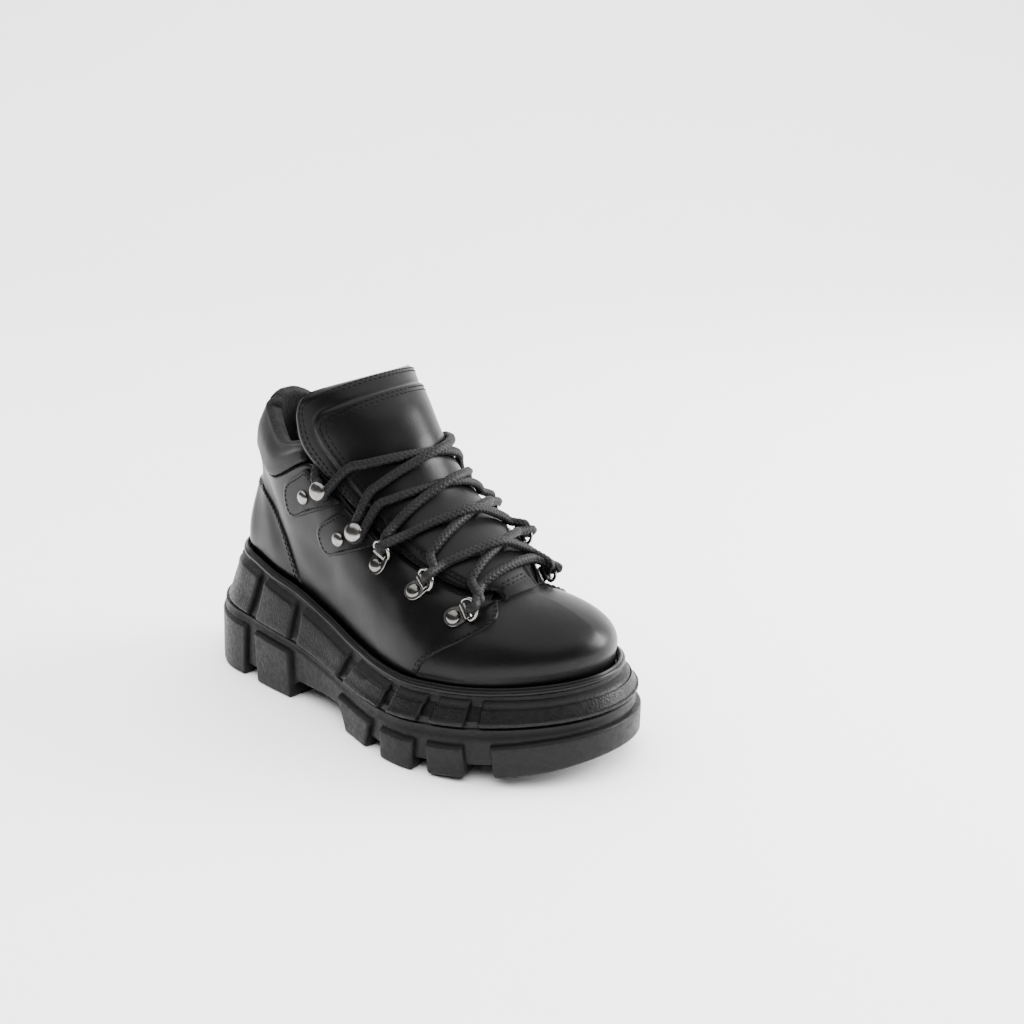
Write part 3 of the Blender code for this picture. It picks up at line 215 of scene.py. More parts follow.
# Turned forms: radius and height.
RIVET_FORM = ((4.0, 0.0), (4.05, 0.35), (3.8, 0.9), (3.1, 1.6), (2.0, 2.1), (0.9, 2.3), (0.05, 2.35))
HOOK_FORM = (
    (3.1, 0.0), (3.1, 0.5), (2.4, 0.9), (1.7, 1.1), (1.65, 3.2), (2.6, 3.45), (4.4, 3.55), (5.1, 3.8),
    (5.25, 4.25), (4.95, 5.0), (4.2, 5.8), (3.0, 6.4), (1.6, 6.8), (0.05, 6.95),
)
PLATE_DOME = ((3.9, 0.3), (3.95, 0.8), (3.7, 1.6), (3.0, 2.35), (1.9, 2.85), (0.8, 3.05), (0.05, 3.1))


# ------------------------------------------------------------------ curves and lines
def curves(rows, xs):
    """Smooth curves through each column of a table, with slopes taken from the neighbouring rows."""
    def curve(values):
        slopes = [float(v) for v in np.gradient(np.array(values, float), np.array(xs, float))]

        def at(x):
            x = min(max(x, xs[0]), xs[-1])
            i = min(max(bisect_left(xs, x) - 1, 0), len(xs) - 2)
            run = xs[i + 1] - xs[i]
            t = (x - xs[i]) / run
            return ((1 + 2 * t) * (1 - t) ** 2 * values[i] + t * (1 - t) ** 2 * run * slopes[i]
                    + t * t * (3 - 2 * t) * values[i + 1] + t * t * (t - 1) * run * slopes[i + 1])

        return at

    return SimpleNamespace(**{name: curve([getattr(row, name) for row in rows]) for name in rows[0]._fields})


sole = curves(SOLE, [row.x for row in SOLE])


def unit(vectors):
    """Vectors divided by their lengths."""
    return vectors / np.linalg.norm(vectors, axis=-1, keepdims=True)


def smooth_rise(value, start, end):
    t = min(max((value - start) / (end - start), 0.0), 1.0)
    return t * t * (3 - 2 * t)


def quarter_round(share):
    """Height of a quarter circle at a share of its run."""
    return math.sqrt(max(1 - (1 - share) ** 2, 0.0))


def seat_height(x):
    """Top of the midsole, on which welt, upper and insole sit."""
    return sole.rim(x) - WELT_HEIGHT


def parting_height(x):
    """Where outsole and midsole meet, under the feet of the blocks."""
    return sole.block_foot(x) - 0.8


def edge_point(turn, side):
    """Point of the sole's edge: turn runs from 0 at the heel to pi at the toe."""
    if turn < 0:
        turn, side = -turn, -side
    if turn > math.pi:
        turn, side = 2 * math.pi - turn, -side
    x = -HALF_LENGTH * math.cos(turn)
    half = sole.half(x)
    for run in ((HALF_LENGTH + x) / HEEL_ROUND, (HALF_LENGTH - x) / TOE_ROUND):
        if run < 1:
            half *= quarter_round(run)
    return np.array([x, sole.centre(x) + side * half])


def turn_at(x):
    """The turn at which the sole's edge passes x."""
    return math.acos(max(-1.0, min(1.0, -2 * x / LENGTH)))


def inward(x, side):
    """Unit normal of the sole's edge, pointing inwards."""
    step = 0.02
    ahead = edge_point(turn_at(x) + step, side) - edge_point(turn_at(x) - step, side)
    return unit(np.array([side * ahead[1], -side * ahead[0]]))


def outline(x, side, inset):
    """Point inset from the sole's edge."""
    return edge_point(turn_at(x), side) + inward(x, side) * inset


def loop_of(columns):
    """Side and column all the way round: outer side to the toe, inner side back to the heel."""
    return [(-1, column) for column in columns] + [(1, column) for column in columns[-2:0:-1]]


def lean(x, share):
    """Inset of the sole's side, leaning in from the blocks' feet to their heads."""
    foot = sole.foot_inset(x)
    return foot + share * (sole.rim_inset(x) - foot - 2.0)


def even_stations(count):
    """Stations evenly spread along the sole's edge, from heel to toe."""
    turns = [math.pi * i / 400 for i in range(401)]
    points = np.array([edge_point(turn, -1) for turn in turns])
    lengths = np.concatenate([[0.0], np.cumsum(np.linalg.norm(np.diff(points, axis=0), axis=1))])
    wanted = [lengths[-1] * i / count for i in range(count + 1)]
    return [-HALF_LENGTH * math.cos(float(np.interp(w, lengths, turns))) for w in wanted]


def feather_inset(x):
    """Inset of the upper's foot from the sole's edge."""
    return sole.rim_inset(x) + WELT_INSET + WELT_WIDTH + FEATHER_FIT


def run_at(x):
    """Distance along the sole's outer edge from the heel to x."""
    points = np.array([edge_point(turn, -1) for turn in np.linspace(0, turn_at(x), 120)])
    return float(np.sum(np.linalg.norm(np.diff(points, axis=0), axis=1)))


UPPER_RUNS = [run_at(row.base_x) for row in UPPER]
CUFF_RUNS = [run_at(row.base_x) for row in CUFF]
COUNTER_RUN = run_at(COUNTER_SEAM_X)
TOE_RUN = run_at(TOE_SEAM_X)
CORNER_RUN = CUFF_RUNS[-1]     # where collar and facing meet
STATION_XS = [-HALF_LENGTH * math.cos(math.pi * i / 240) for i in range(241)]
STATION_RUNS = [run_at(x) for x in STATION_XS]
TONGUE_TOP = len(TONGUE) - 1
upper = curves(UPPER, UPPER_RUNS)
cuff = curves(CUFF, CUFF_RUNS)
seams = curves(SEAMS, [row.share for row in SEAMS])
tongue = curves(TONGUE, list(range(len(TONGUE))))


def station_at(run):
    """The station of the sole's edge at a distance along it."""
    return float(np.interp(run, STATION_RUNS, STATION_XS))


def run_of(x):
    """The distance along the sole's edge at a station."""
    return float(np.interp(x, STATION_XS, STATION_RUNS))


def inner_rise(side, x, rear=-60):
    """How much higher a place at x lies on the inner side."""
    return MEDIAL_RISE * float(np.interp(x, (rear, -40, 55, 80), (0, 1, 1, 0))) if side > 0 else 0.0


def top_edge(run, side):
    """Top edge of the upper: collar seam, facing edge and foot of the throat."""
    x, y = upper.top_x(run), THROAT_CENTRE + side * upper.top_half(run)
    return np.array([x, y, upper.top_z(run) + inner_rise(side, x, -90)])


def seam_point(run, side, share):
    """Point of the upper at a share of its height, in a column that follows the seams."""
    shift = 0.0
    for seam, lean_at, reach in ((COUNTER_RUN, seams.counter, COUNTER_REACH),
                                 (TOE_RUN, seams.toe, TOE_REACH)):
        away = run - seam
        spread = reach[0] if away < 0 else reach[1]
        if abs(away) < spread:
            shift += math.cos(0.5 * math.pi * away / spread) ** 2 * lean_at(share)
    run += shift
    station = station_at(run)
    foot_xy = outline(station, side, feather_inset(station))
    foot = np.array([*foot_xy, seat_height(foot_xy[0]) + FIT]) + UP * (WELT_HEIGHT + FIT)
    out = np.array([*(-inward(station, side)), 0.0])
    top = top_edge(run, side)
    across = np.array([*(foot - top)[:2], 0.0])
    low = foot - across * 0.25 * upper.lean(run) + out * upper.out(run) + UP * upper.rise(run)
    high = top + across * upper.lean(run) + out * upper.up_out(run) + UP * upper.up_rise(run)
    left = 1 - share
    weights = (left ** 3, 3 * share * left ** 2, 3 * share * share * left, share ** 3)
    return sum(w * p for w, p in zip(weights, (foot, low, high, top)))


def upper_profile(run, side, shares):
    """Points up one column of the upper, from its seat to its top edge."""
    points = [seam_point(run, side, share) for share in shares]
    return [np.array([*points[0][:2], seat_height(points[0][0]) + FIT])] + points


def slopes_along(points, closed=False):
    """Differences between neighbours along a path or the rows of a grid."""
    return np.roll(points, -1, axis=0) - np.roll(points, 1, axis=0) if closed else np.gradient(points, axis=0)


def grid_normals(grid, closed):
    """Outward unit normals of a grid of points."""
    return unit(np.cross(slopes_along(grid, closed), np.gradient(grid, axis=1)))


def tongue_point(u, v):
    """Point on the tongue's front: u counts its sections, v runs from -1 to 1 across."""
    near_top = min(max((u - TONGUE_TOP) / TONGUE_CORNER + 1, 0.0), 1.0)
    v *= 1 - TONGUE_CORNER_CUT * (1 - math.sqrt(1 - near_top ** 2))
    across = math.sin(v * TONGUE_ARC) / math.sin(TONGUE_ARC)
    crown = (math.cos(v * TONGUE_ARC) - math.cos(TONGUE_ARC)) / (1 - math.cos(TONGUE_ARC))
    x, z = tongue.edge_x(u), tongue.edge_z(u)
    rise = MEDIAL_RISE * 0.5 * (1 + across) * (1 - crown * 0.5)
    return np.array([x + (tongue.crown_x(u) - x) * crown, THROAT_CENTRE + tongue.edge_half(u) * across,
                     z + (tongue.crown_z(u) - z) * crown + rise])


def off_tongue(u, v, lift):
    """Point at a height over the tongue's front."""
    step = 0.02
    across = tongue_point(u, v + step) - tongue_point(u, v - step)
    along = tongue_point(u + step, v) - tongue_point(u - step, v)
    return tongue_point(u, v) + unit(np.cross(across, along)) * lift


def surface_at(tree, side, x, z):
    """Point and unit normal of a tree's outer face at x and z, looked at from the side."""
    start = Vector((x, side * 200.0, z + inner_rise(side, x)))
    place, normal, _, _ = tree.ray_cast(start, Vector((0.0, -side, 0.0)))
    if normal.y * side < 0:
        normal = -normal
    return np.array(place), np.array(normal)


def rounded_outline(corners, count, bend):
    """Closed outline through four corners, the middle two rounded by a Bezier bend."""
    top, rear, foot, front = [np.array(c, float) for c in corners]
    points = [top + (rear - top) * t for t in (0.0, 0.3)]
    for before, corner, after in ((top, rear, foot), (rear, foot, front)):
        a = corner + (before - corner) * min(0.45, bend / np.linalg.norm(before - corner))
        b = corner + (after - corner) * min(0.45, bend / np.linalg.norm(after - corner))
        for t in [i / (count - 1) for i in range(count)]:
            points.append(a * (1 - t) ** 2 + corner * 2 * t * (1 - t) + b * t * t)
    points += [foot + (front - foot) * t for t in (0.65, 0.85, 1.0)]
    return points + [front + (top - front) * t for t in (0.25, 0.5, 0.75)]


def local_frame(normal, aim):
    """Directions on a surface: towards the throat by the aim from upright, across it, and out."""
    out = unit(normal)
    wanted = np.array([math.sin(math.radians(aim)), 0.0, math.cos(math.radians(aim))])
    ahead = unit(wanted - out * np.dot(wanted, out))
    return ahead, np.cross(out, ahead), out


def seat_on(tree, side, spot, ahead_runs, half):
    """Origin and frame of a flat-based piece: level with the surface under it, clear of it all over."""
    place, normal = surface_at(tree, side, spot.x, spot.z)
    axes = local_frame(normal, spot.aim)
    for _ in range(2):
        ahead, across, out = axes
        under = []
        for run in ahead_runs:
            for shift in (-half, 0.0, half):
                start = place + ahead * run + across * shift + out * 6.0
                found = tree.ray_cast(Vector(start), Vector(-out), 12.0)[0]
                if found is not None:
                    under.append(np.array(found) - place)
        under = np.array(under)
        tilt = np.linalg.svd(under - under.mean(axis=0))[2][2]
        axes = local_frame(tilt * np.sign(np.dot(tilt, out)), spot.aim)
    return place + axes[2] * max(float(np.max(under @ axes[2])), 0.0), axes


def ring_frame(origin, axes):
    """Middle of the ring's bar, and the direction in which the ring stands up from it."""
    ahead, across, out = axes
    bar = origin + ahead * RING_REACH + out * (PLATE_THICKNESS + CURL_FIT + RING_WIRE)
    return bar, ahead * math.cos(RING_TILT) + out * math.sin(RING_TILT)


def bend(p0, p1, p2, p3, t):
    """Point of a smooth curve between the middle two of four points."""
    square = (2 * p0 - 5 * p1 + 4 * p2 - p3) * t * t
    return 0.5 * (2 * p1 + (p2 - p0) * t + square + (3 * p1 - p0 - 3 * p2 + p3) * t ** 3)


def loop_curve(points, count):
    """Smooth closed curve through points, evenly sampled between them."""
    points = np.array(points, float)
    n = len(points)
    places = [k * n / count for k in range(count)]
    return [bend(*(points[(int(s) + o) % n] for o in (-1, 0, 1, 2)), s - int(s)) for s in places]


def smooth_path(points, step):
    """Evenly spaced points along a smooth curve through the given ones."""
    points = [np.array(p, float) for p in points]
    last = len(points) - 2
    fine = []
    for i in range(last + 1):
        p0, p1, p2, p3 = points[max(i - 1, 0)], points[i], points[i + 1], points[min(i + 2, last + 1)]
        d01, d12, d23 = (max(np.linalg.norm(b - a), 1e-6) ** 0.5 for a, b in ((p0, p1), (p1, p2), (p2, p3)))
        m1 = (p2 - p1) + (d12 * ((p1 - p0) / d01 - (p2 - p0) / (d01 + d12)) if i > 0 else 0.0)
        m2 = (p2 - p1) + (d12 * ((p3 - p2) / d23 - (p3 - p1) / (d12 + d23)) if i < last else 0.0)
        for t in [k / 24 for k in range(24)]:
            fine.append((2 * t ** 3 - 3 * t ** 2 + 1) * p1 + (t ** 3 - 2 * t * t + t) * m1
                        + (3 * t * t - 2 * t ** 3) * p2 + (t ** 3 - t * t) * m2)
    fine = np.array(fine + [points[-1]])
    lengths = lengths_of(fine)
    wanted = np.linspace(0, lengths[-1], max(2, round(lengths[-1] / step)) + 1)
    return at_lengths(fine, lengths, wanted)


def lengths_of(path):
    """Distance along a path at each of its points."""
    return np.concatenate([[0.0], np.cumsum(np.linalg.norm(np.diff(path, axis=0), axis=1))])


def at_lengths(path, lengths, wanted):
    """Points of a path at distances along it."""
    return np.stack([np.interp(wanted, lengths, path[:, c]) for c in range(3)], axis=1)


# ------------------------------------------------------------------ node materials
SPECULAR = 0.17           # specular level of every look


class Look:
    """A Principled material, and short ways to add the nodes that it needs."""

    def __init__(self, name, colour, roughness, metallic=0.0, sheen=0.0):
        self.made = bpy.data.materials.new(name)
        self.made.use_nodes = True
        self.nodes, self.links = self.made.node_tree.nodes, self.made.node_tree.links
        self.shader = self.nodes["Principled BSDF"]
        own = {"Base Color": (*colour, 1.0), "Roughness": roughness, "Metallic": metallic,
               "Sheen Weight": sheen, "Specular IOR Level": SPECULAR}
        for socket, value in own.items():
            self.shader.inputs[socket].default_value = value
        self.where = self.nodes.new("ShaderNodeTexCoord").outputs["Object"]

    def node(self, kind, output, inputs, **settings):
        """Output of a new node whose inputs are numbers or the outputs of other nodes."""
        made = self.nodes.new("ShaderNode" + kind)
        for key, value in settings.items():
            setattr(made, key, value)
        for key, value in inputs.items():
            if isinstance(value, bpy.types.NodeSocket):
                self.links.new(value, made.inputs[key])
            else:
                made.inputs[key].default_value = value
        return made.outputs[output]

    def noise(self, scale, detail=3.0, rough=0.5):
        inputs = {"Vector": self.where, "Scale": scale, "Detail": detail, "Roughness": rough}
        return self.node("TexNoise", "Fac", inputs)

    def cells(self, scale, smooth=0.6):
        inputs = {"Vector": self.where, "Scale": scale, "Smoothness": smooth}
        return self.node("TexVoronoi", "Distance", inputs, feature="SMOOTH_F1")

    def rough(self, value, low, high, start=0.0, end=1.0):
        """Roughness from low to high as a value runs from start to end."""
        made = self.node("MapRange", "Result", {"Value": value, "From Min": start, "From Max": end,
                                                "To Min": low, "To Max": high})
        self.links.new(made, self.shader.inputs["Roughness"])

    def tones(self, value, dark, light, start=0.3, end=0.7):
        """Colour from dark to light as a value runs from start to end."""
        made = self.nodes.new("ShaderNodeValToRGB")
        for stop, place, tone in zip(made.color_ramp.elements, (start, end), (dark, light)):
            stop.position, stop.color = place, (*tone, 1.0)
        self.links.new(value, made.inputs["Fac"])
        self.links.new(made.outputs["Color"], self.shader.inputs["Base Color"])

    def bumps(self, *layers):
        """Stack of bump layers, each (height output, strength, distance in metres)."""
        last = None
        for height, strength, distance in layers:
            inputs = {"Strength": strength, "Distance": distance, "Height": height}
            last = self.node("Bump", "Normal", {**inputs, "Normal": last} if last else inputs)
        self.links.new(last, self.shader.inputs["Normal"])


def leather_look(name, dark, light, rough_low, rough_high, grain=0.25):
    look = Look(name, light, rough_low)
    look.tones(look.noise(22.0, 4.0), dark, light)
    look.rough(look.noise(60.0, 5.0), rough_low, rough_high, 0.3, 0.7)
    look.bumps((look.noise(60.0, 2.0), 0.16, 0.0012), (look.cells(1150.0), grain, 0.00012),
               (look.noise(900.0), grain * 0.8, 0.00006))
    return look.made


def pebbled_look(name, dark, light, rough_low, rough_high, scale=1000.0, depth=0.0003, strength=0.6):
    """Moulded rubber with a fine pebble; the pebble is only on the raised faces, as 'raised' says."""
    look = Look(name, light, rough_low)
    look.tones(look.noise(35.0, 5.0), dark, light)
    look.rough(look.noise(420.0, 2.0), rough_low, rough_high, 0.35, 0.65)
    raised = look.node("Attribute", "Fac", {}, attribute_name="raised")
    pebbles = look.node("Math", 0, {0: look.cells(scale), 1: raised}, operation="MULTIPLY")
    look.bumps((look.noise(150.0, 2.0), 0.15, 0.0006), (pebbles, strength, depth))
    return look.made


def textile_look(name, dark, light, scale):
    look = Look(name, light, 0.92, sheen=0.03)
    look.shader.inputs["Sheen Roughness"].default_value = 0.5
    mottle = look.noise(260.0, 6.0, 0.65)
    look.tones(mottle, dark, light, 0.35, 0.68)
    look.rough(mottle, 0.8, 0.98)
    look.bumps((look.cells(scale, 0.3), 0.7, 0.0005), (look.noise(scale * 1.7, 4.0), 0.6, 0.0003))
    return look.made


def metal_look(name, dark, light):
    look = Look(name, light, 0.2, 1.0)
    look.tones(look.noise(240.0, 4.0), dark, light)
    look.rough(look.noise(700.0), 0.2, 0.3)
    look.bumps((look.noise(1600.0, 2.0), 0.06, 0.00005))
    return look.made


def thread_look(name, dark, light, roughness):
    look = Look(name, light, roughness, sheen=0.02)
    strands = look.noise(2600.0)
    look.tones(strands, dark, light)
    look.rough(strands, roughness - 0.1, roughness + 0.1)
    look.bumps((strands, 0.5, 0.0002))
    return look.made


def tone(level, blue):
    """Neutral colour with its own amount of blue."""
    return (level, level, blue)


RUBBER = (tone(0.0026, 0.0028), tone(0.0048, 0.005))
LOOKS = {
    "leather": leather_look("smooth_leather", tone(0.0016, 0.0018), tone(0.0028, 0.003), 0.31, 0.38),
    "collar": leather_look("collar_leather", tone(0.0028, 0.003), tone(0.0044, 0.0047), 0.42, 0.5, 0.3),
    "tab": leather_look("tab_leather", tone(0.0022, 0.0024), tone(0.0034, 0.0037), 0.36, 0.44),
    "midsole": pebbled_look("block_rubber", *RUBBER, 0.38, 0.54),
    "outsole": pebbled_look("lug_rubber", *RUBBER, 0.4, 0.56, 1150.0, 0.00022),
    "welt": pebbled_look("bead_rubber", tone(0.0028, 0.003), tone(0.0046, 0.0048), 0.28, 0.36,
                         900.0, 0.0001, 0.2),
    "lining": textile_look("pile_lining", tone(0.0016, 0.0018), tone(0.009, 0.0098), 900.0),
    "inner": leather_look("inner_lining", tone(0.0018, 0.002), tone(0.003, 0.0032), 0.6, 0.72, 0.4),
    "metal": metal_look("nickel", (0.19, 0.183, 0.172), (0.31, 0.3, 0.285)),
    "dark_metal": metal_look("gunmetal", (0.13, 0.127, 0.12), (0.22, 0.215, 0.205)),
    "lace": thread_look("braid", tone(0.0015, 0.0016), tone(0.009, 0.0095), 0.5),
    "thread": thread_look("thread", tone(0.0004, 0.0004), tone(0.0012, 0.0012), 0.85),
}


# ------------------------------------------------------------------ meshes of the pieces
def placed(name, data):
    """New object in the scene."""
    made = bpy.data.objects.new(name, data)
    bpy.context.scene.collection.objects.link(made)
    return made


def piece(name, points, faces, look, nodes=(), sharp=None, values=None, second=None, second_from=None):
    """Smooth mesh from points in millimetres, riding on the shoe.

    It takes the place of its nodes. A second look may cover the faces from second_from on.
    """
    mesh = bpy.data.meshes.new(name)
    mesh.from_pydata((np.array(points, float) * MM).tolist(), [], faces)
    tidy = bmesh.new()
    tidy.from_mesh(mesh)
    bmesh.ops.recalc_face_normals(tidy, faces=tidy.faces)
    tidy.to_mesh(mesh)
    tidy.free()
    mesh.shade_smooth()
    if sharp:
        mesh.set_sharp_from_angle(angle=math.radians(sharp))
    mesh.materials.append(LOOKS[look])
    if second:
        mesh.materials.append(LOOKS[second])
        mesh.polygons.foreach_set("material_index", [int(n >= second_from) for n in range(len(faces))])
    if values is not None:
        raised = mesh.attributes.new("raised", "FLOAT", "POINT")
        raised.data.foreach_set("value", np.array(values, dtype=np.float32))
    made = placed(name, mesh)
    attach(made, "root")
    if nodes:
        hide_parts(*nodes)
    return made


def grid_faces(rows, count, start=0, wrap_rows=False, wrap_columns=True, flip=False):
    """Quads over a grid of points stored row by row."""
    faces = []
    for i in range(rows if wrap_rows else rows - 1):
        here, there = start + i * count, start + (i + 1) % rows * count
        for j in range(count if wrap_columns else count - 1):
            m = (j + 1) % count
            quad = (here + j, there + j, there + m, here + m)
            faces.append(quad[::-1] if flip else quad)
    return faces


def end_faces(rows, count, start=0):
    """Caps over the first and the last row of a grid."""
    last = start + (rows - 1) * count
    return [tuple(range(start, start + count)), tuple(range(last, last + count))[::-1]]


def parted(faces, count, is_outer):
    """Faces of a grid in two groups, by their place along each row."""
    groups = ([], [])
    for n, face in enumerate(faces):
        groups[0 if is_outer(n % count) else 1].append(face)
    return groups


def tree_of(made):
    """Ray-cast tree of a piece, in millimetres."""
    points = [tuple(v.co / MM) for v in made.data.vertices]
    return BVHTree.FromPolygons(points, [tuple(face.vertices) for face in made.data.polygons])


def round_bar(middles, radius, count, closed=False):
    """Points and faces of a round bar along a path; its radius may follow the turn and the run."""
    middles = np.array(middles, float)
    along = unit(slopes_along(middles, closed))
    side = np.cross(along[0], (0.31, 0.22, 0.93))
    points = []
    for middle, ahead, run in zip(middles, along, lengths_of(middles)):
        side = unit(side - ahead * np.dot(side, ahead))
        other = np.cross(ahead, side)
        for turn in [2 * math.pi * i / count for i in range(count)]:
            far = radius(turn, run) if callable(radius) else radius
            points.append(middle + (side * math.cos(turn) + other * math.sin(turn)) * far)
    faces = grid_faces(len(middles), count, wrap_rows=closed)
    return points, faces if closed else faces + end_faces(len(middles), count)


def turned(origin, axes, form, count):
    """Points and faces of a form of (radius, height) turned round the outward axis."""
    ahead, across, out = axes
    form = np.array(form, float)
    last = len(form) - 1
    fine = [form[0]]
    for i in range(last):
        near = form[max(i - 1, 0)], form[i], form[i + 1], form[min(i + 2, last)]
        fine += [bend(*near, k / 4) for k in range(1, 5)]
    points = []
    for radius, height in fine:
        for turn in [2 * math.pi * i / count for i in range(count)]:
            away = (ahead * math.cos(turn) + across * math.sin(turn)) * max(radius, 0.02)
            points.append(origin + away + out * height)
    ends = [face[::-1] for face in end_faces(len(fine), count)]
    return points, [face[::-1] for face in grid_faces(len(fine), count)] + ends


def in_corner(in_side, in_top, radius):
    """Distance inside a panel with a rounded corner, from those to its side and to its top."""
    if in_side < radius and in_top < radius:
        return radius - math.hypot(radius - in_side, radius - in_top)
    return min(in_side, in_top)


# ------------------------------------------------------------------ sole
Column = namedtuple("Column", "foot_x head_x raised")


def fine_columns(features, rear_end):
    """Columns along one side of the sole: rounded flanks, and even ones on and between the features."""
    columns = []

    def fill(a, b, raised):
        """Even columns between two places, each (foot, head)."""
        runs = [(run_of(low), run_of(high)) for low, high in zip(a, b)]
        count = max(2, round((runs[0][1] - runs[0][0]) / COLUMN_STEP))
        for share in [k / count for k in range(1, count)]:
            columns.append(Column(*(station_at(low + (high - low) * share) for low, high in runs), raised))

    def flank(foot, head, turn):
        """Rounded flank of a feature, away from its end; gives back its place on top."""
        for bit in FLANK[::turn]:
            columns.append(Column(foot + bit.run * turn, head + bit.run * turn, bit.share))
        return foot + FLANK[-1].run * turn, head + FLANK[-1].run * turn

    before = None
    if rear_end is not None:
        before = (rear_end, rear_end)
        columns.append(Column(*before, 0.0))
    for feature in features:
        rear = (-HALF_LENGTH, -HALF_LENGTH)
        if feature.rear_foot > -HALF_LENGTH:
            rear = (feature.rear_foot - EDGE, feature.rear_head - EDGE)
            if before:
                fill(before, rear, 0.0)
            rear = flank(*rear, 1)
        else:
            columns.append(Column(*rear, 1.0))
        if feature.front_foot < HALF_LENGTH:
            before = (feature.front_foot + EDGE, feature.front_head + EDGE)
            fill(rear, (before[0] - FLANK[-1].run, before[1] - FLANK[-1].run), 1.0)
            flank(*before, -1)
        else:
            fill(rear, (HALF_LENGTH, HALF_LENGTH), 1.0)
            columns.append(Column(HALF_LENGTH, HALF_LENGTH, 1.0))
    return columns


def between(pair, x, share):
    """Value at x between a recessed and a raised one, each a number or a function of x."""
    low, high = (value(x) if callable(value) else value for value in pair)
    return low + (high - low) * share


def fine_ring(columns, level, up, inset, height):
    """One ring of the sole; inset and height may be pairs, for a column's recessed and raised places."""
    inset, height = (value if isinstance(value, tuple) else (value, value) for value in (inset, height))
    ring = []
    shares = []
    for side, column in loop_of(columns):
        station = column.foot_x + (column.head_x - column.foot_x) * level
        share = max(0.0, 1.0 - math.hypot(1.0 - column.raised, 1.0 - up))
        x, y = outline(station, side, between(inset, station, share))
        ring.append((x, y, between(height, x, share)))
        shares.append(share)
    return ring, shares


def cap_faces(start, count):
    """Strips across the sole between the two halves of one ring."""
    half = count // 2
    faces = [(start, start + 1, start + count - 1)]
    for i in range(1, half - 1):
        faces.append((start + i, start + i + 1, start + count - i - 1, start + count - i))
    return faces + [(start + half - 1, start + half, start + half + 1)]


def stacked(rings):
    """Points, raised shares and faces of closed rings over each other."""
    points = [p for ring, _ in rings for p in ring]
    values = [v for _, shares in rings for v in shares]
    count = len(rings[0][0])
    faces = grid_faces(len(rings), count) + [face[::-1] for face in cap_faces(0, count)]
    return points, values, faces + cap_faces((len(rings) - 1) * count, count)


def add_to(points, values, faces, more, more_faces):
    """Put a further form, raised all over, with the points, values and faces of a piece."""
    start = len(points)
    points += more
    values += [1.0] * len(more)
    faces += [tuple(start + i for i in face) for face in more_faces]


def tread_bar(bar, tread, ground):
    """Cross bar of the tread, with the edges of its foot cut back."""
    corners = ((bar.rear, -bar.half), (bar.front, -bar.half), (bar.front, bar.half), (bar.rear, bar.half))
    corners = [(x, y + sole.centre(x)) for x, y in corners]
    low = np.array([(x, y, tread(x) + 1.0) for x, y in corners])
    high = np.array([(x, y, ground(x)) for x, y in corners])
    points = []
    for ring, share, drop in ((low, 0.0, 0.0), (high, 0.0, 1.1), (high, 0.45, 0.33), (high, 1.0, 0.0)):
        back = np.sign(high.mean(axis=0) - ring) * np.array([1.0, 1.0, 0.0]) * share
        points += list(ring + back + UP * drop)
    faces = [(0, 1, 2, 3), (15, 14, 13, 12)]
    for a in (0, 4, 8):
        faces += [(a + k, a + 4 + k, a + 4 + (k + 1) % 4, a + (k + 1) % 4) for k in range(4)]
    return points, faces


def dress_outsole():
    columns = fine_columns(LUGS, None)

    def flank(x):
        return 0.2 + 0.4 * (sole.foot_inset(x) - 1.2)

    def ground(x):
        return float(np.interp(x, GROUND_X, GROUND_Z))

    def tread(x):
        return float(np.interp(x, GROUND_X, TREAD_Z))

    def waist(x):
        return parting_height(x) * 0.45 + sole.lug_head(x) * 0.55

    rings = [
        fine_ring(columns, 1, 0, SIDE_GROOVE + 1.2, parting_height),
        fine_ring(columns, 1, 0, SIDE_GROOVE + 0.5, lambda x: parting_height(x) - 0.6),
        fine_ring(columns, 1, 0, SIDE_GROOVE + 0.4, lambda x: waist(x) + 0.3),
        fine_ring(columns, 1, 0, SIDE_GROOVE, lambda x: waist(x) - 0.3),
    ]
    for bit in FLANK:
        rings.append(fine_ring(columns, 1 - 0.04 * bit.run, bit.share, (SIDE_GROOVE, flank),
                               lambda x: sole.lug_head(x) + 0.5 - bit.run))
    for level in (0.72, 0.45, 0.22):
        rings.append(fine_ring(
            columns, level, 1, (SIDE_GROOVE, lambda x: 0.7 + (flank(x) - 0.7) * level),
            (lambda x: tread(x) + 1.5 + (sole.lug_head(x) - tread(x) - 3.0) * level,
             lambda x: ground(x) + 2.2 + (sole.lug_head(x) - ground(x) - 4.0) * level),
        ))
    for inset, rise in ((0.72, 1.6), (0.85, 0.95), (1.15, 0.42), (1.6, 0.1), (2.2, 0.0)):
        rings.append(fine_ring(columns, 0, 1, (SIDE_GROOVE + inset - 0.7, inset),
                               (lambda x: tread(x) + rise, lambda x: ground(x) + rise)))
    # Two fine grooves run round under the lugs, before their inner edge.
    for inset, cut in ((8.0, 0.0), (8.3, 0.8), (9.3, 0.8), (9.6, 0.0), (16.0, 0.0), (16.3, 0.8), (17.3, 0.8),
                       (17.6, 0.0), (LUG_RING - 0.6, 0.0), (LUG_RING, 0.4)):
        rings.append(fine_ring(columns, 0, 1, inset, (tread, lambda x: ground(x) + cut)))
    rings.append(fine_ring(columns, 0, 0, LUG_RING + EDGE, tread))
    parts = stacked(rings)
    for bar in BARS:
        add_to(*parts, *tread_bar(bar, tread, ground))
    points, values, faces = parts
    piece("outsole_rubber", points, faces, "outsole", ["outsole"], sharp=38.0, values=values)


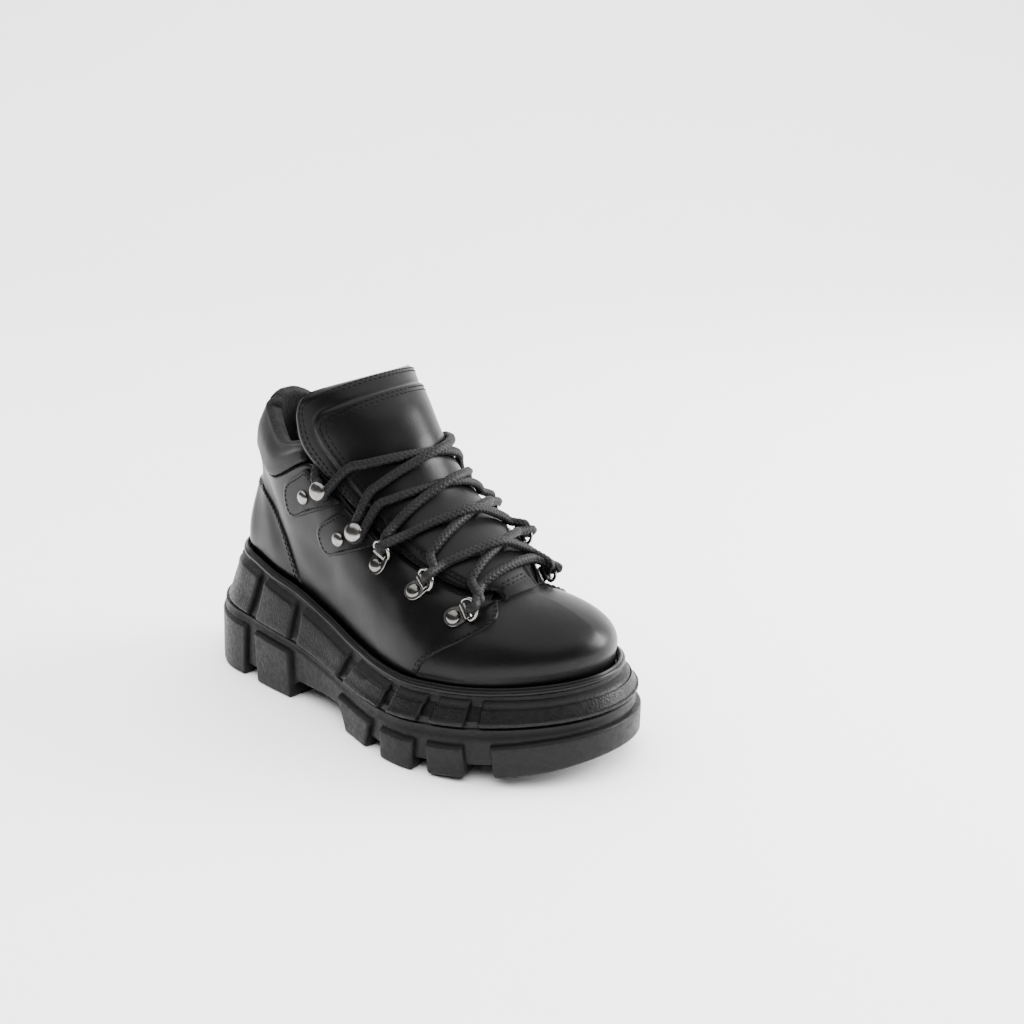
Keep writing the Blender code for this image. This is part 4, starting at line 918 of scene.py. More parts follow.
def heel_rib(share):
    """Rounded rib across the back of the heel, at a share of the blocks' height."""
    section = []
    for angle in [2 * math.pi * k / 12 for k in range(12)]:
        section.append((math.copysign(abs(math.cos(angle)) ** 0.45, math.cos(angle)),
                        math.copysign(abs(math.sin(angle)) ** 0.6, math.sin(angle))))
    points = []
    for j in range(-16, 17):
        turn = HEEL_RIB_TURN * j / 16
        station = -HALF_LENGTH * math.cos(turn)
        foot = sole.block_foot(station)
        middle = foot + share * (sole.block_head(station) - foot)
        ease = min(1.0, (16 - abs(j)) / 2.0) ** 0.5
        for out, rise in section:
            depth = 0.3 - (HEEL_RIB_DEPTH + 0.3) * out * ((0.35 + 0.65 * ease) if out > 0 else 1.0)
            x, y = outline(station, -1 if turn < 0 else 1, lean(station, share) + SIDE_GROOVE + depth)
            points.append((x, y, middle + rise * 0.46 * HEEL_RIB_HEIGHT * (0.6 + 0.4 * ease)))
    return points, grid_faces(33, 12) + end_faces(33, 12)


def dress_midsole():
    columns = fine_columns(BLOCKS, -HALF_LENGTH)

    def ring(level, up, height):
        inset = (lambda x: lean(x, level) + SIDE_GROOVE, lambda x: lean(x, level))
        return fine_ring(columns, level, up, inset, height)

    rings = [ring(0, 0, lambda x: parting_height(x) + CURVED_FIT)]
    for bit in FLANK:
        rings.append(ring(0.02 * bit.run, bit.share, lambda x: sole.block_foot(x) - 0.1 + bit.run))
    for level in (0.26, 0.42, 0.58, 0.74):
        rings.append(ring(level, 1, lambda x: sole.block_foot(x) * (1 - level) + sole.block_head(x) * level))
    for bit in HEAD[::-1]:
        rings.append(ring(1 - 0.035 * bit.run, bit.share, lambda x: sole.block_head(x) + 0.8 - bit.run))
    for share in (0.35, 0.7, 1.0):
        rings.append(fine_ring(columns, 1, 0, lambda x: sole.rim_inset(x) + 1.4 + 0.2 * share,
                               lambda x: (sole.block_head(x) + 0.8) * (1 - share) + seat_height(x) * share))
    parts = stacked(rings)
    for i in range(HEEL_RIBS):
        add_to(*parts, *heel_rib((i + 0.5) / HEEL_RIBS))
    points, values, faces = parts
    piece("midsole_rubber", points, faces, "midsole", ["midsole"], sharp=42.0, values=values)


def dress_welt():
    points = []
    sides_and_stations = loop_of(even_stations(170))
    for side, station in sides_and_stations:
        for run, rise in BEAD:
            x, y = outline(station, side, sole.rim_inset(station) + WELT_INSET + run)
            points.append((x, y, seat_height(x) + FIT + rise * (WELT_HEIGHT - FIT)))
    faces = grid_faces(len(sides_and_stations), len(BEAD), wrap_rows=True)
    piece("welt_bead", points, faces, "welt", ["welt"], sharp=60.0, values=[1.0] * len(points))


def dress_insole():
    rings = []
    top = INSOLE_HEIGHT
    for extra, height in ((0.3, CURVED_FIT), (0.0, 1.2), (0.0, top - 1.3), (0.4, top - 0.4), (1.5, top),
                          (6.0, top - 0.5), (14.0, top - 1.0)):
        ring = []
        for side, station in loop_of(even_stations(80)):
            x, y = outline(station, side, feather_inset(station) + WALL + TOE_STEP + 2 * FIT + extra)
            ring.append((x, y, seat_height(x) + height))
        rings.append((ring, [1.0] * len(ring)))
    points, values, faces = stacked(rings)
    piece("insole_pad", points, faces, "lining", ["insole"], sharp=60.0, values=values)


# ------------------------------------------------------------------ upper
def fine_runs(count=190):
    """Runs of the upper's columns, closer beside the seams."""
    lines = (COUNTER_RUN, TOE_RUN)
    runs = [UPPER_RUNS[-1] * i / count for i in range(count + 1)]
    runs = [r for r in runs if min(abs(r - seam) for seam in lines) > 3.2 and abs(r - CORNER_RUN) > 0.8]
    return sorted(runs + [seam + bit.run for seam in lines for bit in SEAM_EDGE] + [CORNER_RUN])


def fine_shares(count=48):
    """Shares of the upper's rows, closer beside the top of the counter."""
    shares = [i / count for i in range(count + 1)]
    shares = [t for t in shares if abs(t - COUNTER_TOP) > 2.9 / HEEL_COLUMN]
    return sorted(shares + [COUNTER_TOP + bit.run / HEEL_COLUMN for bit in SEAM_EDGE])


def seam_share(run):
    """Height of a leather's edge over the one below, as a share, at a distance past the edge."""
    return float(np.interp(run, [bit.run for bit in SEAM_EDGE], [bit.share for bit in SEAM_EDGE]))


def fine_step(run, share):
    """Height over the quarter: the counter lies over it, and the vamp lies over the toe cap."""
    inside = in_corner(COUNTER_RUN - run, (COUNTER_TOP - share) * HEEL_COLUMN, COUNTER_CORNER)
    return COUNTER_STEP * seam_share(-inside) + TOE_STEP * (seam_share(run - TOE_RUN) - 1.0)


def crease_height(points, normals):
    """Sum of the creases at points, faded where the leather doesn't face the side."""
    total = np.zeros(points.shape[:2])
    where = points[:, :, (0, 2)]
    for crease in CREASES:
        a, b = np.array(crease[:2], float), np.array(crease[2:4], float)
        share = np.clip(((where - a) @ (b - a)) / ((b - a) @ (b - a)), 0.0, 1.0)
        far = np.linalg.norm(where - a - share[:, :, None] * (b - a), axis=2)
        total += crease.height * np.exp(-(far / crease.width) ** 2)
    return total * np.clip(np.abs(normals[:, :, 1]) * 1.6 - 0.3, 0.0, 1.0)


def dress_upper():
    sides_and_runs = loop_of(fine_runs())
    shares = fine_shares()
    rows = len(shares) + 1
    base = np.array([upper_profile(run, side, shares) for side, run in sides_and_runs])
    normals = grid_normals(base, True)
    ramp = np.concatenate([[0.0], np.clip(np.array(shares) * 30.0, 0.0, 1.0)])
    step = np.array([[0.0] + [fine_step(run, share) for share in shares] for _, run in sides_and_runs])
    outside = base + normals * ((step + crease_height(base, normals)) * ramp)[:, :, None]
    inside = base + normals * (np.minimum(step * ramp, 0.0) - WALL)[:, :, None]
    for face in (outside, inside):
        face[:, 0, :2] = face[:, 1, :2]
        face[:, 0, 2] = [seat_height(x) + FIT for x in face[:, 1, 0]]
    runs = np.array([run for _, run in sides_and_runs])
    under_collar = runs <= CORNER_RUN
    for face in (outside, inside):
        face[under_collar, -1, 2] = base[under_collar, -1, 2]
    open_edge = np.clip((runs - CORNER_RUN) / 6.0, 0.0, 1.0)
    rolled = unit(outside[:, -1] - outside[:, -2]) * (0.55 * open_edge)[:, None]
    edge = [outside[:, -1] * (1 - t) + inside[:, -1] * t + rolled * math.sin(math.pi * t)
            for t in (0.12, 0.5, 0.88)]
    inner_rows = list(range(rows - 1, 0, -3)) + [0]
    columns = np.concatenate([outside, np.stack(edge, axis=1), inside[:, inner_rows]], axis=1)
    count = columns.shape[1]
    outer, inner = parted(grid_faces(len(columns), count, wrap_rows=True), count, lambda j: j < rows + 1)
    return piece("upper_leather", columns.reshape(-1, 3), outer + inner, "leather", ["upper"],
                 second="inner", second_from=len(outer))


# ------------------------------------------------------------------ collar and tongue
def dress_collar():
    end = CORNER_RUN
    count = 84
    around = 60
    ordered = [(-1, end * (1 - i / count)) for i in range(count)]
    ordered += [(1, end * i / count) for i in range(count + 1)]
    feet = np.array([top_edge(run, side) for side, run in ordered])
    loops = []
    for n, ((side, run), foot, ahead) in enumerate(zip(ordered, feet, slopes_along(feet))):
        out = unit(np.array([-ahead[1], ahead[0], 0.0]))
        rise = MEDIAL_RISE * (run / end) ** 2 if side > 0 else 0.0
        rim = np.array([cuff.rim_x(run), THROAT_CENTRE + side * cuff.rim_half(run), cuff.rim_z(run) + rise])
        swell = cuff.swell(run)
        pucker = 0.35 * math.sin(run / 7.3 + side) + 0.25 * math.sin(run / 3.9 + 1.3 * side)
        pucker *= smooth_rise(run, 0.55 * end, 0.8 * end)
        thick = CUFF_THICKNESS * (1 - 0.25 * (run / end) ** 4)
        height = rim[2] - foot[2]
        seat = foot + UP * COLLAR_FIT
        # Each point: where it starts, and how far it lies up the collar, out of it and below.
        section = [start + (rim - foot) * up + out * away - UP * drop for start, up, away, drop in (
            (seat, 0.0, COLLAR_STEP * 0.4, 0.0),
            (seat, 0.07, COLLAR_STEP + swell * 0.42, 0.0),
            (foot, 0.26, COLLAR_STEP + swell * 0.85 + pucker * 0.4, 0.0),
            (foot, 0.55, COLLAR_STEP + swell + 0.2 + pucker * 0.3, 0.0),
            (rim, 0.0, thick * 0.46, min(4.5, height * 0.3)),
            (rim, 0.0, thick * 0.25, 0.9),
            (rim, 0.0, -thick * 0.2, 0.7),
            (rim, 0.0, -thick * 0.48 - 1.2, min(4.0, height * 0.3)),
            (foot, 0.55, COLLAR_STEP + swell - thick - 0.8, 0.0),
            (foot, 0.22, COLLAR_STEP + swell * 0.7 - thick, 0.0),
            (seat, 0.0, COLLAR_STEP - thick * 0.75, 0.0),
        )]
        loop = loop_curve(section, around)
        from_end = min(n, len(ordered) - 1 - n)
        if from_end < 5:
            middle = sum(section) / len(section)
            share = 1 - 0.16 * ((5 - from_end) / 5) ** 2
            loop = [middle + (p - middle) * share for p in loop]
        loops.append(loop)
    loops = np.array(loops)
    # A sewn valley where the lining meets the leather, just inside the rim.
    rim_at = round(4.9 * around / 11)
    for step, depth in enumerate((0.2, 0.55, -0.1, -0.4, -0.5, -0.5, -0.4, -0.2), start=rim_at - 1):
        ring = loops[:, step]
        loops[:, step] = ring + unit(loops.mean(axis=1) - ring) * depth
    faces = grid_faces(len(loops), around, flip=True)
    inner, outer = parted(faces, around, lambda j: rim_at <= j < around - 3)
    outer += end_faces(len(loops), around)
    made = piece("collar_padding", loops.reshape(-1, 3), outer + inner, "collar", ["collar"],
                 second="lining", second_from=len(outer))


def tongue_panel(u, v):
    """Height of the raised panel over the tongue's border, with a sewn valley round it."""
    in_side = (PANEL_EDGE_V - abs(v)) * TONGUE_SPAN
    inside = in_corner(in_side, (TONGUE_TOP - 0.52 - u) * SECTION_SPAN, PANEL_CORNER)
    valley = 0.3 * math.exp(-((inside + 0.5) / 0.8) ** 2)
    sewn_down = 0.22 * math.exp(-((inside - 4.0) / 1.6) ** 2)
    return TONGUE_PANEL_STEP * smooth_rise(inside, 0.0, 1.9) - valley - sewn_down


def tongue_border(away):
    """Folded edge of the tongue: a thin step down, by the distance from its edge."""
    return -0.5 * (1 - smooth_rise(away, 1.0, 1.5))


def dress_tongue():
    last = TONGUE_TOP
    us = np.linspace(0, last, 200)
    close = (0.79, 0.81, 0.82, 0.83, 0.84, 0.86, 0.955, 0.96, 0.965, 0.97, 0.98, 0.984, 0.988, 0.994)
    vs = sorted({round(v, 4) for v in np.linspace(-1, 1, 81)} | {s * v for s in (-1, 1) for v in close})
    front = np.array([[tongue_point(u, v) for v in vs] for u in us])
    normals = -grid_normals(front, False)
    outer = np.zeros_like(front)
    inner = np.zeros_like(front)
    for i, u in enumerate(us):
        ease_top = 0.12 + 0.88 * quarter_round(min(1.0, (last - u) / 0.18))
        top_border = tongue_border((last - u) * SECTION_SPAN) if u > last - 0.2 else 0.0
        hollow_at = -0.6 * smooth_rise(u, 4.6, 5.6) * (1 - smooth_rise(u, 6.0, 6.4))
        for j, v in enumerate(vs):
            ease = (0.45 + 0.55 * quarter_round(min(1.0, (1 - abs(v)) / 0.022))) * ease_top
            half = TONGUE_THICKNESS * (1 - 0.45 * abs(v) ** 6) * 0.5
            middle = front[i, j] - normals[i, j] * half
            relief = tongue_panel(u, v) + hollow_at * math.exp(-(v / 0.45) ** 2)
            relief += min(tongue_border((1 - abs(v)) * TONGUE_SPAN), top_border)
            outer[i, j] = middle + normals[i, j] * (half + relief) * ease
            inner[i, j] = middle - normals[i, j] * half * ease
    # The toe end is tucked down under the toe cap.
    tucked = []
    for ahead, down, thin in ((10.0, 7.5, 0.3), (6.5, 5.5, 0.6), (3.5, 3.2, 0.85), (1.6, 1.1, 0.97)):
        shift = np.array([ahead, 0.0, -down])
        tucked.append((outer[0] + shift, outer[0] + (inner[0] - outer[0]) * thin + shift))
    tucked_outer, tucked_inner = zip(*tucked)
    outer, inner = np.concatenate([tucked_outer, outer]), np.concatenate([tucked_inner, inner])
    columns = np.concatenate([outer, inner[:, ::-1]], axis=1)
    count = columns.shape[1]
    faces = [face[-1:] + face[:-1] for face in grid_faces(len(columns), count, flip=True)]
    outer_faces, inner_faces = parted(faces, count, lambda j: j < len(vs) + 2 or j > count - 3)
    outer_faces += [face[::-1] for face in end_faces(len(columns), count)]
    made = piece("tongue_padding", columns.reshape(-1, 3), outer_faces + inner_faces, "leather", ["tongue"],
                 second="lining", second_from=len(outer_faces))
    return made


def sheet(name, ends, count, sag, thickness, offset):
    """Thin lining of rows between pairs of ends, each row bent by a sag over its share."""
    shares = [k / (count - 1) for k in range(count)]
    points = [near * (1 - t) + far * t + UP * sag(t) for near, far in ends for t in shares]
    made = piece(name, points, grid_faces(len(ends), count, wrap_columns=False), "inner")
    thick = made.modifiers.new("thickness", "SOLIDIFY")
    thick.thickness, thick.offset = thickness, offset


def dress_gusset():
    """Folded leather between the sides of the tongue and the inside of the upper, below the throat's edge."""
    tops = [top_edge(run, -1) for run in np.linspace(CORNER_RUN + 6.0, UPPER_RUNS[-1], 120)]
    for side, word in SIDES:
        ends = []
        for u in np.linspace(0.0, 4.4, 64):
            edge = tongue_point(u, 0.93 * side)
            top = min(tops, key=lambda p: abs(p[0] - edge[0]))
            y = THROAT_CENTRE - side * (top[1] - THROAT_CENTRE) - side * 1.9
            far = np.array([edge[0], y, top[2] + (MEDIAL_RISE if side > 0 else 0.0) - 3.8])
            ends.append((off_tongue(u, 0.93 * side, -TONGUE_THICKNESS * 0.4), far))
        fold = lambda t: -1.4 * math.sin(math.pi * t) - 0.5 * math.sin(3 * math.pi * t)
        sheet("gusset_" + word, ends, 7, fold, 0.001, 0.0)
    ends = [[top_edge(run, side) + np.array([0.0, side * 1.6, -2.7]) for side in (-1, 1)]
            for run in np.linspace(run_at(60.0), 0.985 * UPPER_RUNS[-1], 30)]
    sheet("throat_lining", ends, 13, lambda t: 0.9 * math.sin(math.pi * t), 0.0008, -1.0)


# ------------------------------------------------------------------ tabs, hooks, rivets and rings
def shrunk(point, middle, share):
    """A point of a tab's outline drawn in to its middle, only over the slope when it is near the edge."""
    far = np.linalg.norm(point - middle)
    return middle + (point - middle) * (1 - (1 - share) * TAB_SLOPE / max(far, 8.0) if share > 0.9 else share)


def dress_tab(end, tree, side, corners):
    corners = rounded_outline(corners, 12, 9.0)
    edge = []
    for a, b in zip(corners, corners[1:] + corners[:1]):
        count = max(1, round(np.linalg.norm(b - a) / 1.4))
        edge += [a + (b - a) * i / count for i in range(count)]
    edge = [p for i, p in enumerate(edge) if np.linalg.norm(p - edge[i - 1]) > 0.2]
    middle = sum(edge) / len(edge)
    top = TAB_THICKNESS + TAB_PUFF
    rings = list(TAB_EDGE) + [(share, top) for share in (0.85, 0.75, 0.62, 0.48, 0.34, 0.2, 0.08)]
    spots = [(shrunk(p, middle, share), lift) for share, lift in rings for p in edge] + [(middle, top)]
    points = []
    for spot, lift in spots:
        place, normal = surface_at(tree, side, *spot)
        points.append(place + normal * lift)
    count = len(edge)
    last = (len(rings) - 1) * count
    faces = grid_faces(len(rings), count)
    faces += [(last + i, last + (i + 1) % count, len(points) - 1) for i in range(count)]
    made = piece("tab_leather" + end, points, faces + [tuple(range(count))], "tab", ["tab" + end])
    made.data.validate()
    return made, edge, middle


def dress_plate(end, origin, axes):
    ahead, across, out = axes
    half = PLATE_THICKNESS / 2
    stations = []
    for angle in [math.radians(-78 + 6.5 * i) for i in range(13)]:
        stations.append((PLATE_HALF * math.sin(angle), half, 0.0, 1.0, PLATE_HALF * math.cos(angle)))
    for share in (0.25, 0.5, 0.75, 1.0):
        width = PLATE_HALF + (PLATE_NECK - PLATE_HALF) * smooth_rise(share, 0.2, 0.9)
        stations.append(((RING_REACH - 0.6) * share, half, 0.0, 1.0, width))
    curl = RING_WIRE + CURL_FIT + half
    for turn in [math.radians(-90 + 12 * i) for i in range(22)]:
        stations.append((RING_REACH + curl * math.cos(turn), half + curl + curl * math.sin(turn),
                         -math.cos(turn), -math.sin(turn), PLATE_NECK))
    points = []
    cut = 0.28
    for run, height, tip, lift, width in stations:
        centre = origin + ahead * run + out * height
        up = ahead * tip + out * lift
        below = ((cut - half, -width), (-half, cut - width), (-half, width - cut), (cut - half, width))
        for rise, wide in below + tuple((-rise, wide) for rise, wide in below[::-1]):
            points.append(centre + up * rise + across * wide)
    faces = grid_faces(len(stations), 8) + end_faces(len(stations), 8)
    piece("plate_metal" + end, points, faces, "dark_metal", ["plate" + end], sharp=30.0)
    piece("plate_metal" + end + "_rivet", *turned(origin, axes, PLATE_DOME, 40), "dark_metal", sharp=60.0)


def dress_ring(end, origin, axes):
    bar, stand = ring_frame(origin, axes)
    corner = [(RING_HALF - 1.3, 0.12), (RING_HALF - 0.45, 0.55), (RING_HALF, 1.4)]
    path = [(x, 0.0) for x in (-2.6, -1.3, 0.0, 1.3, 2.6)] + corner
    for turn in [math.radians(10 + 160 * i / 24) for i in range(25)]:
        path.append((RING_HALF * math.cos(turn), 2.4 + (RING_DEPTH - 2.4) * math.sin(turn)))
    path += [(-x, y) for x, y in corner[::-1]]
    middles = loop_curve([bar + axes[1] * x + stand * y for x, y in path], 96)
    piece("ring_wire" + end, *round_bar(middles, RING_WIRE, 14, closed=True), "metal", ["ring" + end])


def dress_hardware(upper_tree):
    """Tabs, hooks, rivets, plates and rings on both sides; gives back where the lace turns."""
    turns = {}
    tabs = []
    for side, word in SIDES:
        for tab, hook, rivet in zip(TABS, HOOKS, RIVETS):
            end = "_%s_%s" % (tab.name, word)
            made, edge, middle = dress_tab(end, upper_tree, side, tab.corners)
            tree = tree_of(made)
            tabs.append((tree, side, edge, middle, end))
            for kind, spot, form in (("hook", hook, HOOK_FORM), ("rivet", rivet, RIVET_FORM)):
                place, axes = seat_on(tree, side, spot, (-2.8, 0.0, 2.8), 2.8)
                origin = place + axes[2] * 0.1
                points, faces = turned(origin, axes, form, 48)
                piece(kind + "_metal" + end, points, faces, "metal", [kind + end], sharp=60.0)
                turns[(side, kind + "_" + spot.name)] = (origin, axes)
        for spot in RINGS:
            end = "_%s_%s" % (spot.name, word)
            place, axes = seat_on(upper_tree, side, spot, PLATE_RUNS, PLATE_NECK)
            origin = place + axes[2] * 0.15
            dress_plate(end, origin, axes)
            dress_ring(end, origin, axes)
            turns[(side, "ring_" + spot.name)] = (origin, axes)
    return turns, tabs


# ------------------------------------------------------------------ lace
def relaxed(path, reach):
    """A path eased by a short moving mean, as a stiff cord rounds its corners."""
    weights = np.hanning(2 * reach + 3)[1:-1]
    weights /= weights.sum()
    padded = np.concatenate([np.repeat(path[:1], reach, axis=0), path, np.repeat(path[-1:], reach, axis=0)])
    return np.stack([np.convolve(padded[:, c], weights, mode="valid") for c in range(3)], axis=1)


def strand(run):
    """Middle line of one run over the tongue, from its outer side to its inner side."""
    middles = []
    for t in [i / 14 for i in range(1, 14)]:
        hump = LACE_OVER * LACE_RADIUS * math.exp(-((t - 0.5) / 0.16) ** 2) if run.over else 0.0
        middles.append(off_tongue(run.outer + (run.inner - run.outer) * t, LACE_REACH * (2 * t - 1),
                                  TONGUE_PANEL_STEP + LACE_RADIUS + 0.3 + hump))
    return middles


def ring_turn(origin, axes, side):
    """Points through a D-ring: over its far wire on the toe's side and under it on the heel's."""
    across = axes[1] * -side
    bar, stand = ring_frame(origin, axes)
    up = np.cross(across, stand)
    if np.dot(up, axes[2]) < 0:
        up = -up
    reach = RING_WIRE + LACE_RADIUS
    tip = bar + stand * RING_DEPTH
    return [tip + up * rise + stand * along + across * aside for rise, along, aside in (
        (reach - 0.5, 0.6, -1.4), (reach * 0.55, -2.6, -0.9), (0.0, -reach - 0.1, 0.0),
        (-reach * 0.8, -1.6, 0.9), (0.5 - reach, 1.6, 1.6))]


def hook_turn(origin, axes, side):
    """Points round the stem under a hook's cap."""
    ahead, across, out = axes
    reach = 1.65 + LACE_RADIUS * 0.95
    turns = [math.radians(turn) for turn in np.linspace(60 * side, 300 * side, 9)]
    return [origin + out * 2.25 + (ahead * math.cos(a) + across * math.sin(a)) * reach for a in turns]


def braid_radius(turn, run):
    """Two crossing sets of strands round the cord, and a groove on each side of it."""
    strands = max(math.cos(5 * turn + run * 2.3), math.cos(5 * turn - run * 2.3))
    return LACE_RADIUS - 0.12 + 0.3 * strands - 0.3 * math.exp(-(math.sin(turn) / 0.3) ** 2)


def dress_lace(turns):
    """One lace from the top hook of one side, down to the bar, and up to the other top hook."""
    crosses = {}
    for n, run in enumerate(LACE_RUNS):
        rising = run.inner > run.outer
        crosses[(n // 2, -1 if rising else 1)] = strand(run) if rising else strand(run)[::-1]
    halves = []
    for side in (-1, 1):
        points = []
        for i, place in enumerate(("ring_1", "ring_2", "ring_3", "hook_lower", "hook_upper")):
            turn = ring_turn if place.startswith("ring") else hook_turn
            points += turn(*turns[(side, place)], side)
            if i < 4:
                points += crosses[(i, side)]
                side = -side
        # The end tucks in behind the tongue's edge.
        points.append(tongue_point(4.95, side) + np.array([-1.6, side * 2.2, -3.2]))
        for u, v, share, more in ((5.3, 0.97, 0.6, 2.6), (5.4, 0.86, 1.0, 3.0), (5.2, 0.76, 1.0, 3.2)):
            points.append(off_tongue(u, v * side, -TONGUE_THICKNESS * share - more))
        halves.append(points)
    path = relaxed(smooth_path(halves[0][::-1] + strand(LACE_BAR) + halves[1], 0.36), 4)
    piece("lace_braid", *round_bar(path, braid_radius, 24), "lace",
          ["lace_bar"] + ["lace_cross_%d" % n for n in range(1, 5)])


# ------------------------------------------------------------------ stitches
def nearest(tree, spot):
    place, normal, _, _ = tree.find_nearest(Vector(spot))
    return np.array(place), np.array(normal)


def sewn(name, lines, tree, pitch=3.2, share=0.74, radius=0.34):
    """Rows of short thread stitches laid on a surface along lines of points."""
    points = []
    faces = []
    for line in lines:
        path = smooth_path(line, 0.35)
        lengths = lengths_of(path)
        count = int(lengths[-1] / pitch)
        span = lengths[-1] / count
        for n in range(count):
            marks = (n + 0.5 - share / 2) * span + span * share * np.arange(5) / 4
            middles = []
            for spot, lift in zip(at_lengths(path, lengths, marks), (-0.3, 0.05, 0.12, 0.05, -0.3)):
                place, normal = nearest(tree, spot)
                outward = (0.15 * spot[0], spot[1] - THROAT_CENTRE, 12.0)
                middles.append(place + normal * (-lift if np.dot(normal, outward) < 0 else lift))
            ring, bits = round_bar(middles, radius, 6)
            faces += [tuple(len(points) + i for i in face) for face in bits]
            points += ring
    piece(name, points, faces, "thread")


def beside(line, tree, shift):
    """A line moved sideways on a surface, kept on it."""
    line = np.array(line, float)
    moved = []
    for point, ahead in zip(line, unit(slopes_along(line))):
        moved.append(nearest(tree, point + np.cross(nearest(tree, point)[1], ahead) * shift)[0])
    return moved


def counter_line(inset):
    """Line round the heel at an inset from the edge of the counter."""
    corner = COUNTER_CORNER - inset
    shares = np.linspace(0.03, COUNTER_TOP - COUNTER_CORNER / HEEL_COLUMN, 14)
    places = [(COUNTER_RUN - inset, share) for share in shares]
    for angle in np.linspace(0.0, 0.5 * math.pi, 8)[1:]:
        places.append((COUNTER_RUN - COUNTER_CORNER + corner * math.cos(angle),
                       COUNTER_TOP - (COUNTER_CORNER - corner * math.sin(angle)) / HEEL_COLUMN))
    places += [(run, places[-1][1]) for run in np.linspace(COUNTER_RUN - COUNTER_CORNER, 0.0, 20)[1:]]
    outer, inner = ([seam_point(run, side, share) for run, share in places] for side in (-1, 1))
    return outer + inner[::-1][1:]


def tongue_line(v, top, corner_v, corner_u, foot, lift):
    """Line down both sides and across the top of the tongue, with rounded corners."""
    places = [(u, v) for u in np.linspace(foot, top - corner_u, 44)]
    for angle in np.linspace(0.0, 0.5 * math.pi, 8)[1:-1]:
        places.append((top - corner_u + corner_u * math.sin(angle), v - corner_v * (1 - math.cos(angle))))
    across = [(top, w) for w in np.linspace(corner_v - v, v - corner_v, 24)]
    places = [(u, -w) for u, w in places] + across + places[::-1]
    return [off_tongue(u, w, lift) for u, w in places]


def dress_stitches(upper_tree, tongue_tree, tabs):
    sewn("counter_stitches", [counter_line(1.3), counter_line(3.4)], upper_tree)
    toe = [[seam_point(TOE_RUN - shift, side, t) for t in np.linspace(0.02, 0.93, 40)]
           for side in (-1, 1) for shift in (1.5, 3.6)]
    sewn("toe_stitches", toe, upper_tree)
    for name, runs, shifts in (("collar", np.linspace(0.0, CORNER_RUN, 60), (1.9, 3.9)),
                               ("facing", np.linspace(CORNER_RUN + 5, UPPER_RUNS[-1], 90), (1.8, 3.8))):
        lines = [beside([top_edge(run, side) for run in runs], upper_tree, shift * -side)
                 for side in (-1, 1) for shift in shifts]
        sewn(name + "_stitches", lines, upper_tree)
    top = TONGUE_TOP
    border = [tongue_line(v, u, 0.05, 0.12, 0.12, 0.0) for v, u in ((0.955, top - 0.1), (0.92, top - 0.19))]
    border += [[tongue_point(u, w) for w in np.linspace(-0.9, 0.9, 30)] for u in (0.12, 0.3)]
    panel = [tongue_line(v, u, 0.12, 0.3, 0.3, TONGUE_PANEL_STEP)
             for v, u in ((0.79, top - 0.66), (0.75, top - 0.76))]
    sewn("tongue_border_stitches", border, tongue_tree)
    sewn("tongue_panel_stitches", panel, tongue_tree)
    for tree, side, edge, middle, end in tabs:
        line = [surface_at(tree, side, *(middle + (p - middle) * (1 - 2.2 / np.linalg.norm(p - middle))))[0]
                for p in edge]
        sewn("tab_stitches" + end, [line + line[:1]], tree, pitch=2.7, radius=0.32)


# ------------------------------------------------------------------ stage, lights and camera
def soft_light(name, place, target, size, radiance, shiny=True):
    """Rectangular soft light; its power follows from its radiance and its size."""
    lamp = bpy.data.lights.new(name, "AREA")
    lamp.shape = "RECTANGLE"
    lamp.size, lamp.size_y = size
    lamp.energy = radiance * math.pi * size[0] * size[1]
    made = placed(name, lamp)
    made.location = place
    made.rotation_euler = (Vector(target) - Vector(place)).to_track_quat("-Z", "Y").to_euler()
    made.visible_glossy = shiny


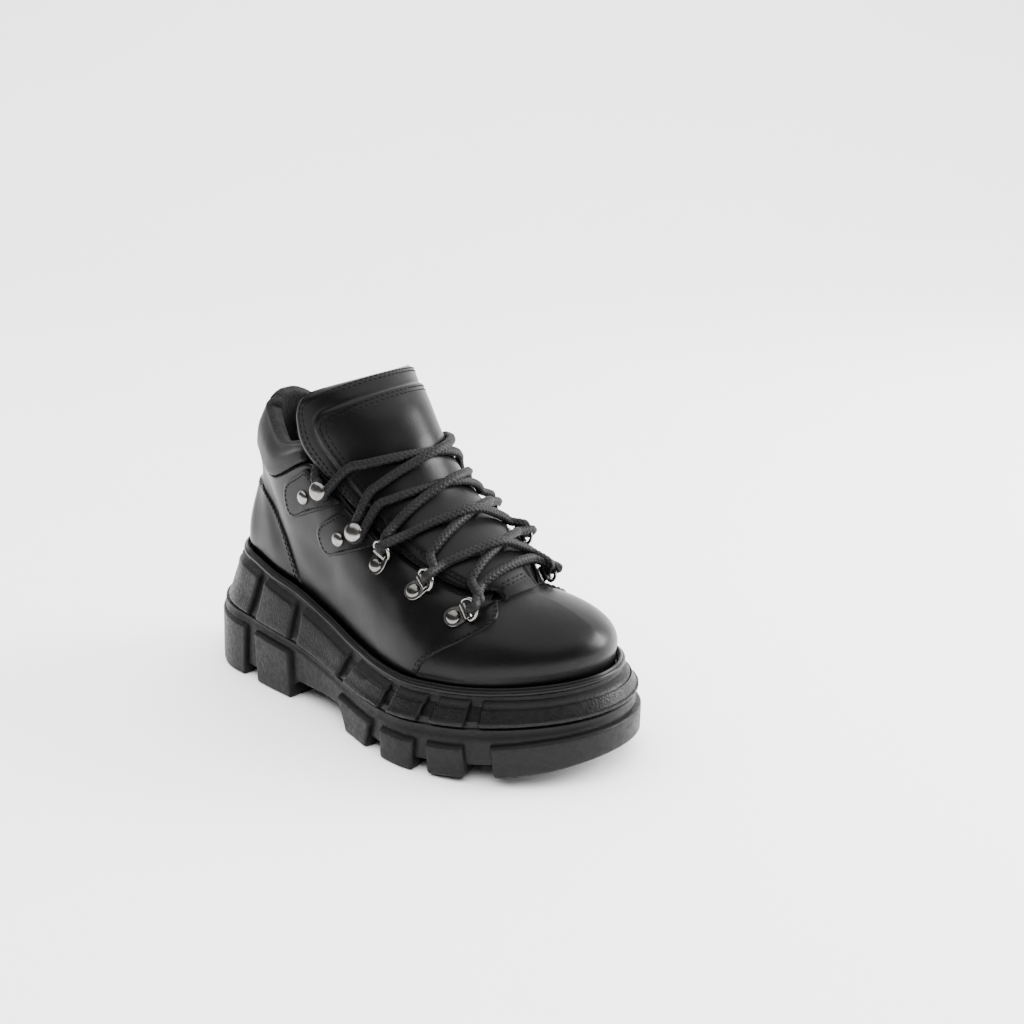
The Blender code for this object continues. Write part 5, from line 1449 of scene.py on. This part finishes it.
def dress_stage():
    """Pale floor running up into a far wall, soft lights and the camera."""
    look = Look("studio_paper", (0.79, 0.79, 0.79), 0.9)
    look.tones(look.noise(3.0), (0.785, 0.785, 0.787), (0.8, 0.8, 0.802))
    aim = Vector((-0.6102, 0.7299, -0.308))
    ahead = Vector((aim.x, aim.y, 0.0)).normalized()
    side = Vector((ahead.y, -ahead.x, 0.0))
    turns = [math.radians(a) for a in range(6, 91, 6)]
    section = [(-2.2, 0.0), (1.4, 0.0)] + [(1.4 + 0.9 * math.sin(a), 0.9 - 0.9 * math.cos(a)) for a in turns]
    section.append((2.3, 3.2))
    points = [tuple(ahead * run + side * shift + Vector((0.0, 0.0, height)))
              for run, height in section for shift in (-3.2, 3.2)]
    mesh = bpy.data.meshes.new("studio_floor")
    mesh.from_pydata(points, [], grid_faces(len(section), 2, wrap_columns=False))
    mesh.shade_smooth()
    mesh.materials.append(look.made)
    placed("studio_floor", mesh)

    scene = bpy.context.scene
    scene.world = scene.world or bpy.data.worlds.new("studio")
    scene.world.use_nodes = True
    sky = scene.world.node_tree.nodes["Background"].inputs
    sky["Color"].default_value = (1.0, 1.0, 1.0, 1.0)
    sky["Strength"].default_value = 0.12
    soft_light("top_light", (0.0, 0.5, 3.0), (0.0, 0.5, 0.0), (6.0, 5.6), 2.2)
    soft_light("fill_light", (0.0, 0.0, 3.1), (0.0, 0.0, 0.0), (7.0, 7.0), 5.3, False)
    soft_light("right_light", (1.0, 1.1, 0.62), (0.06, 0.0, 0.06), (0.85, 0.8), 30.0)

    camera = placed("camera", bpy.data.cameras.new("camera"))
    camera.location = (0.5249, -0.5353, 0.3551)
    camera.rotation_euler = aim.to_track_quat("-Z", "Y").to_euler()
    camera.data.lens = 50.5
    camera.data.sensor_width = 36.0
    scene.camera = camera


dress_outsole()
dress_midsole()
dress_welt()
dress_insole()
upper_tree = tree_of(dress_upper())
dress_collar()
tongue_tree = tree_of(dress_tongue())
dress_gusset()
lace_turns, tab_edges = dress_hardware(upper_tree)
dress_lace(lace_turns)
dress_stitches(upper_tree, tongue_tree, tab_edges)
dress_stage()
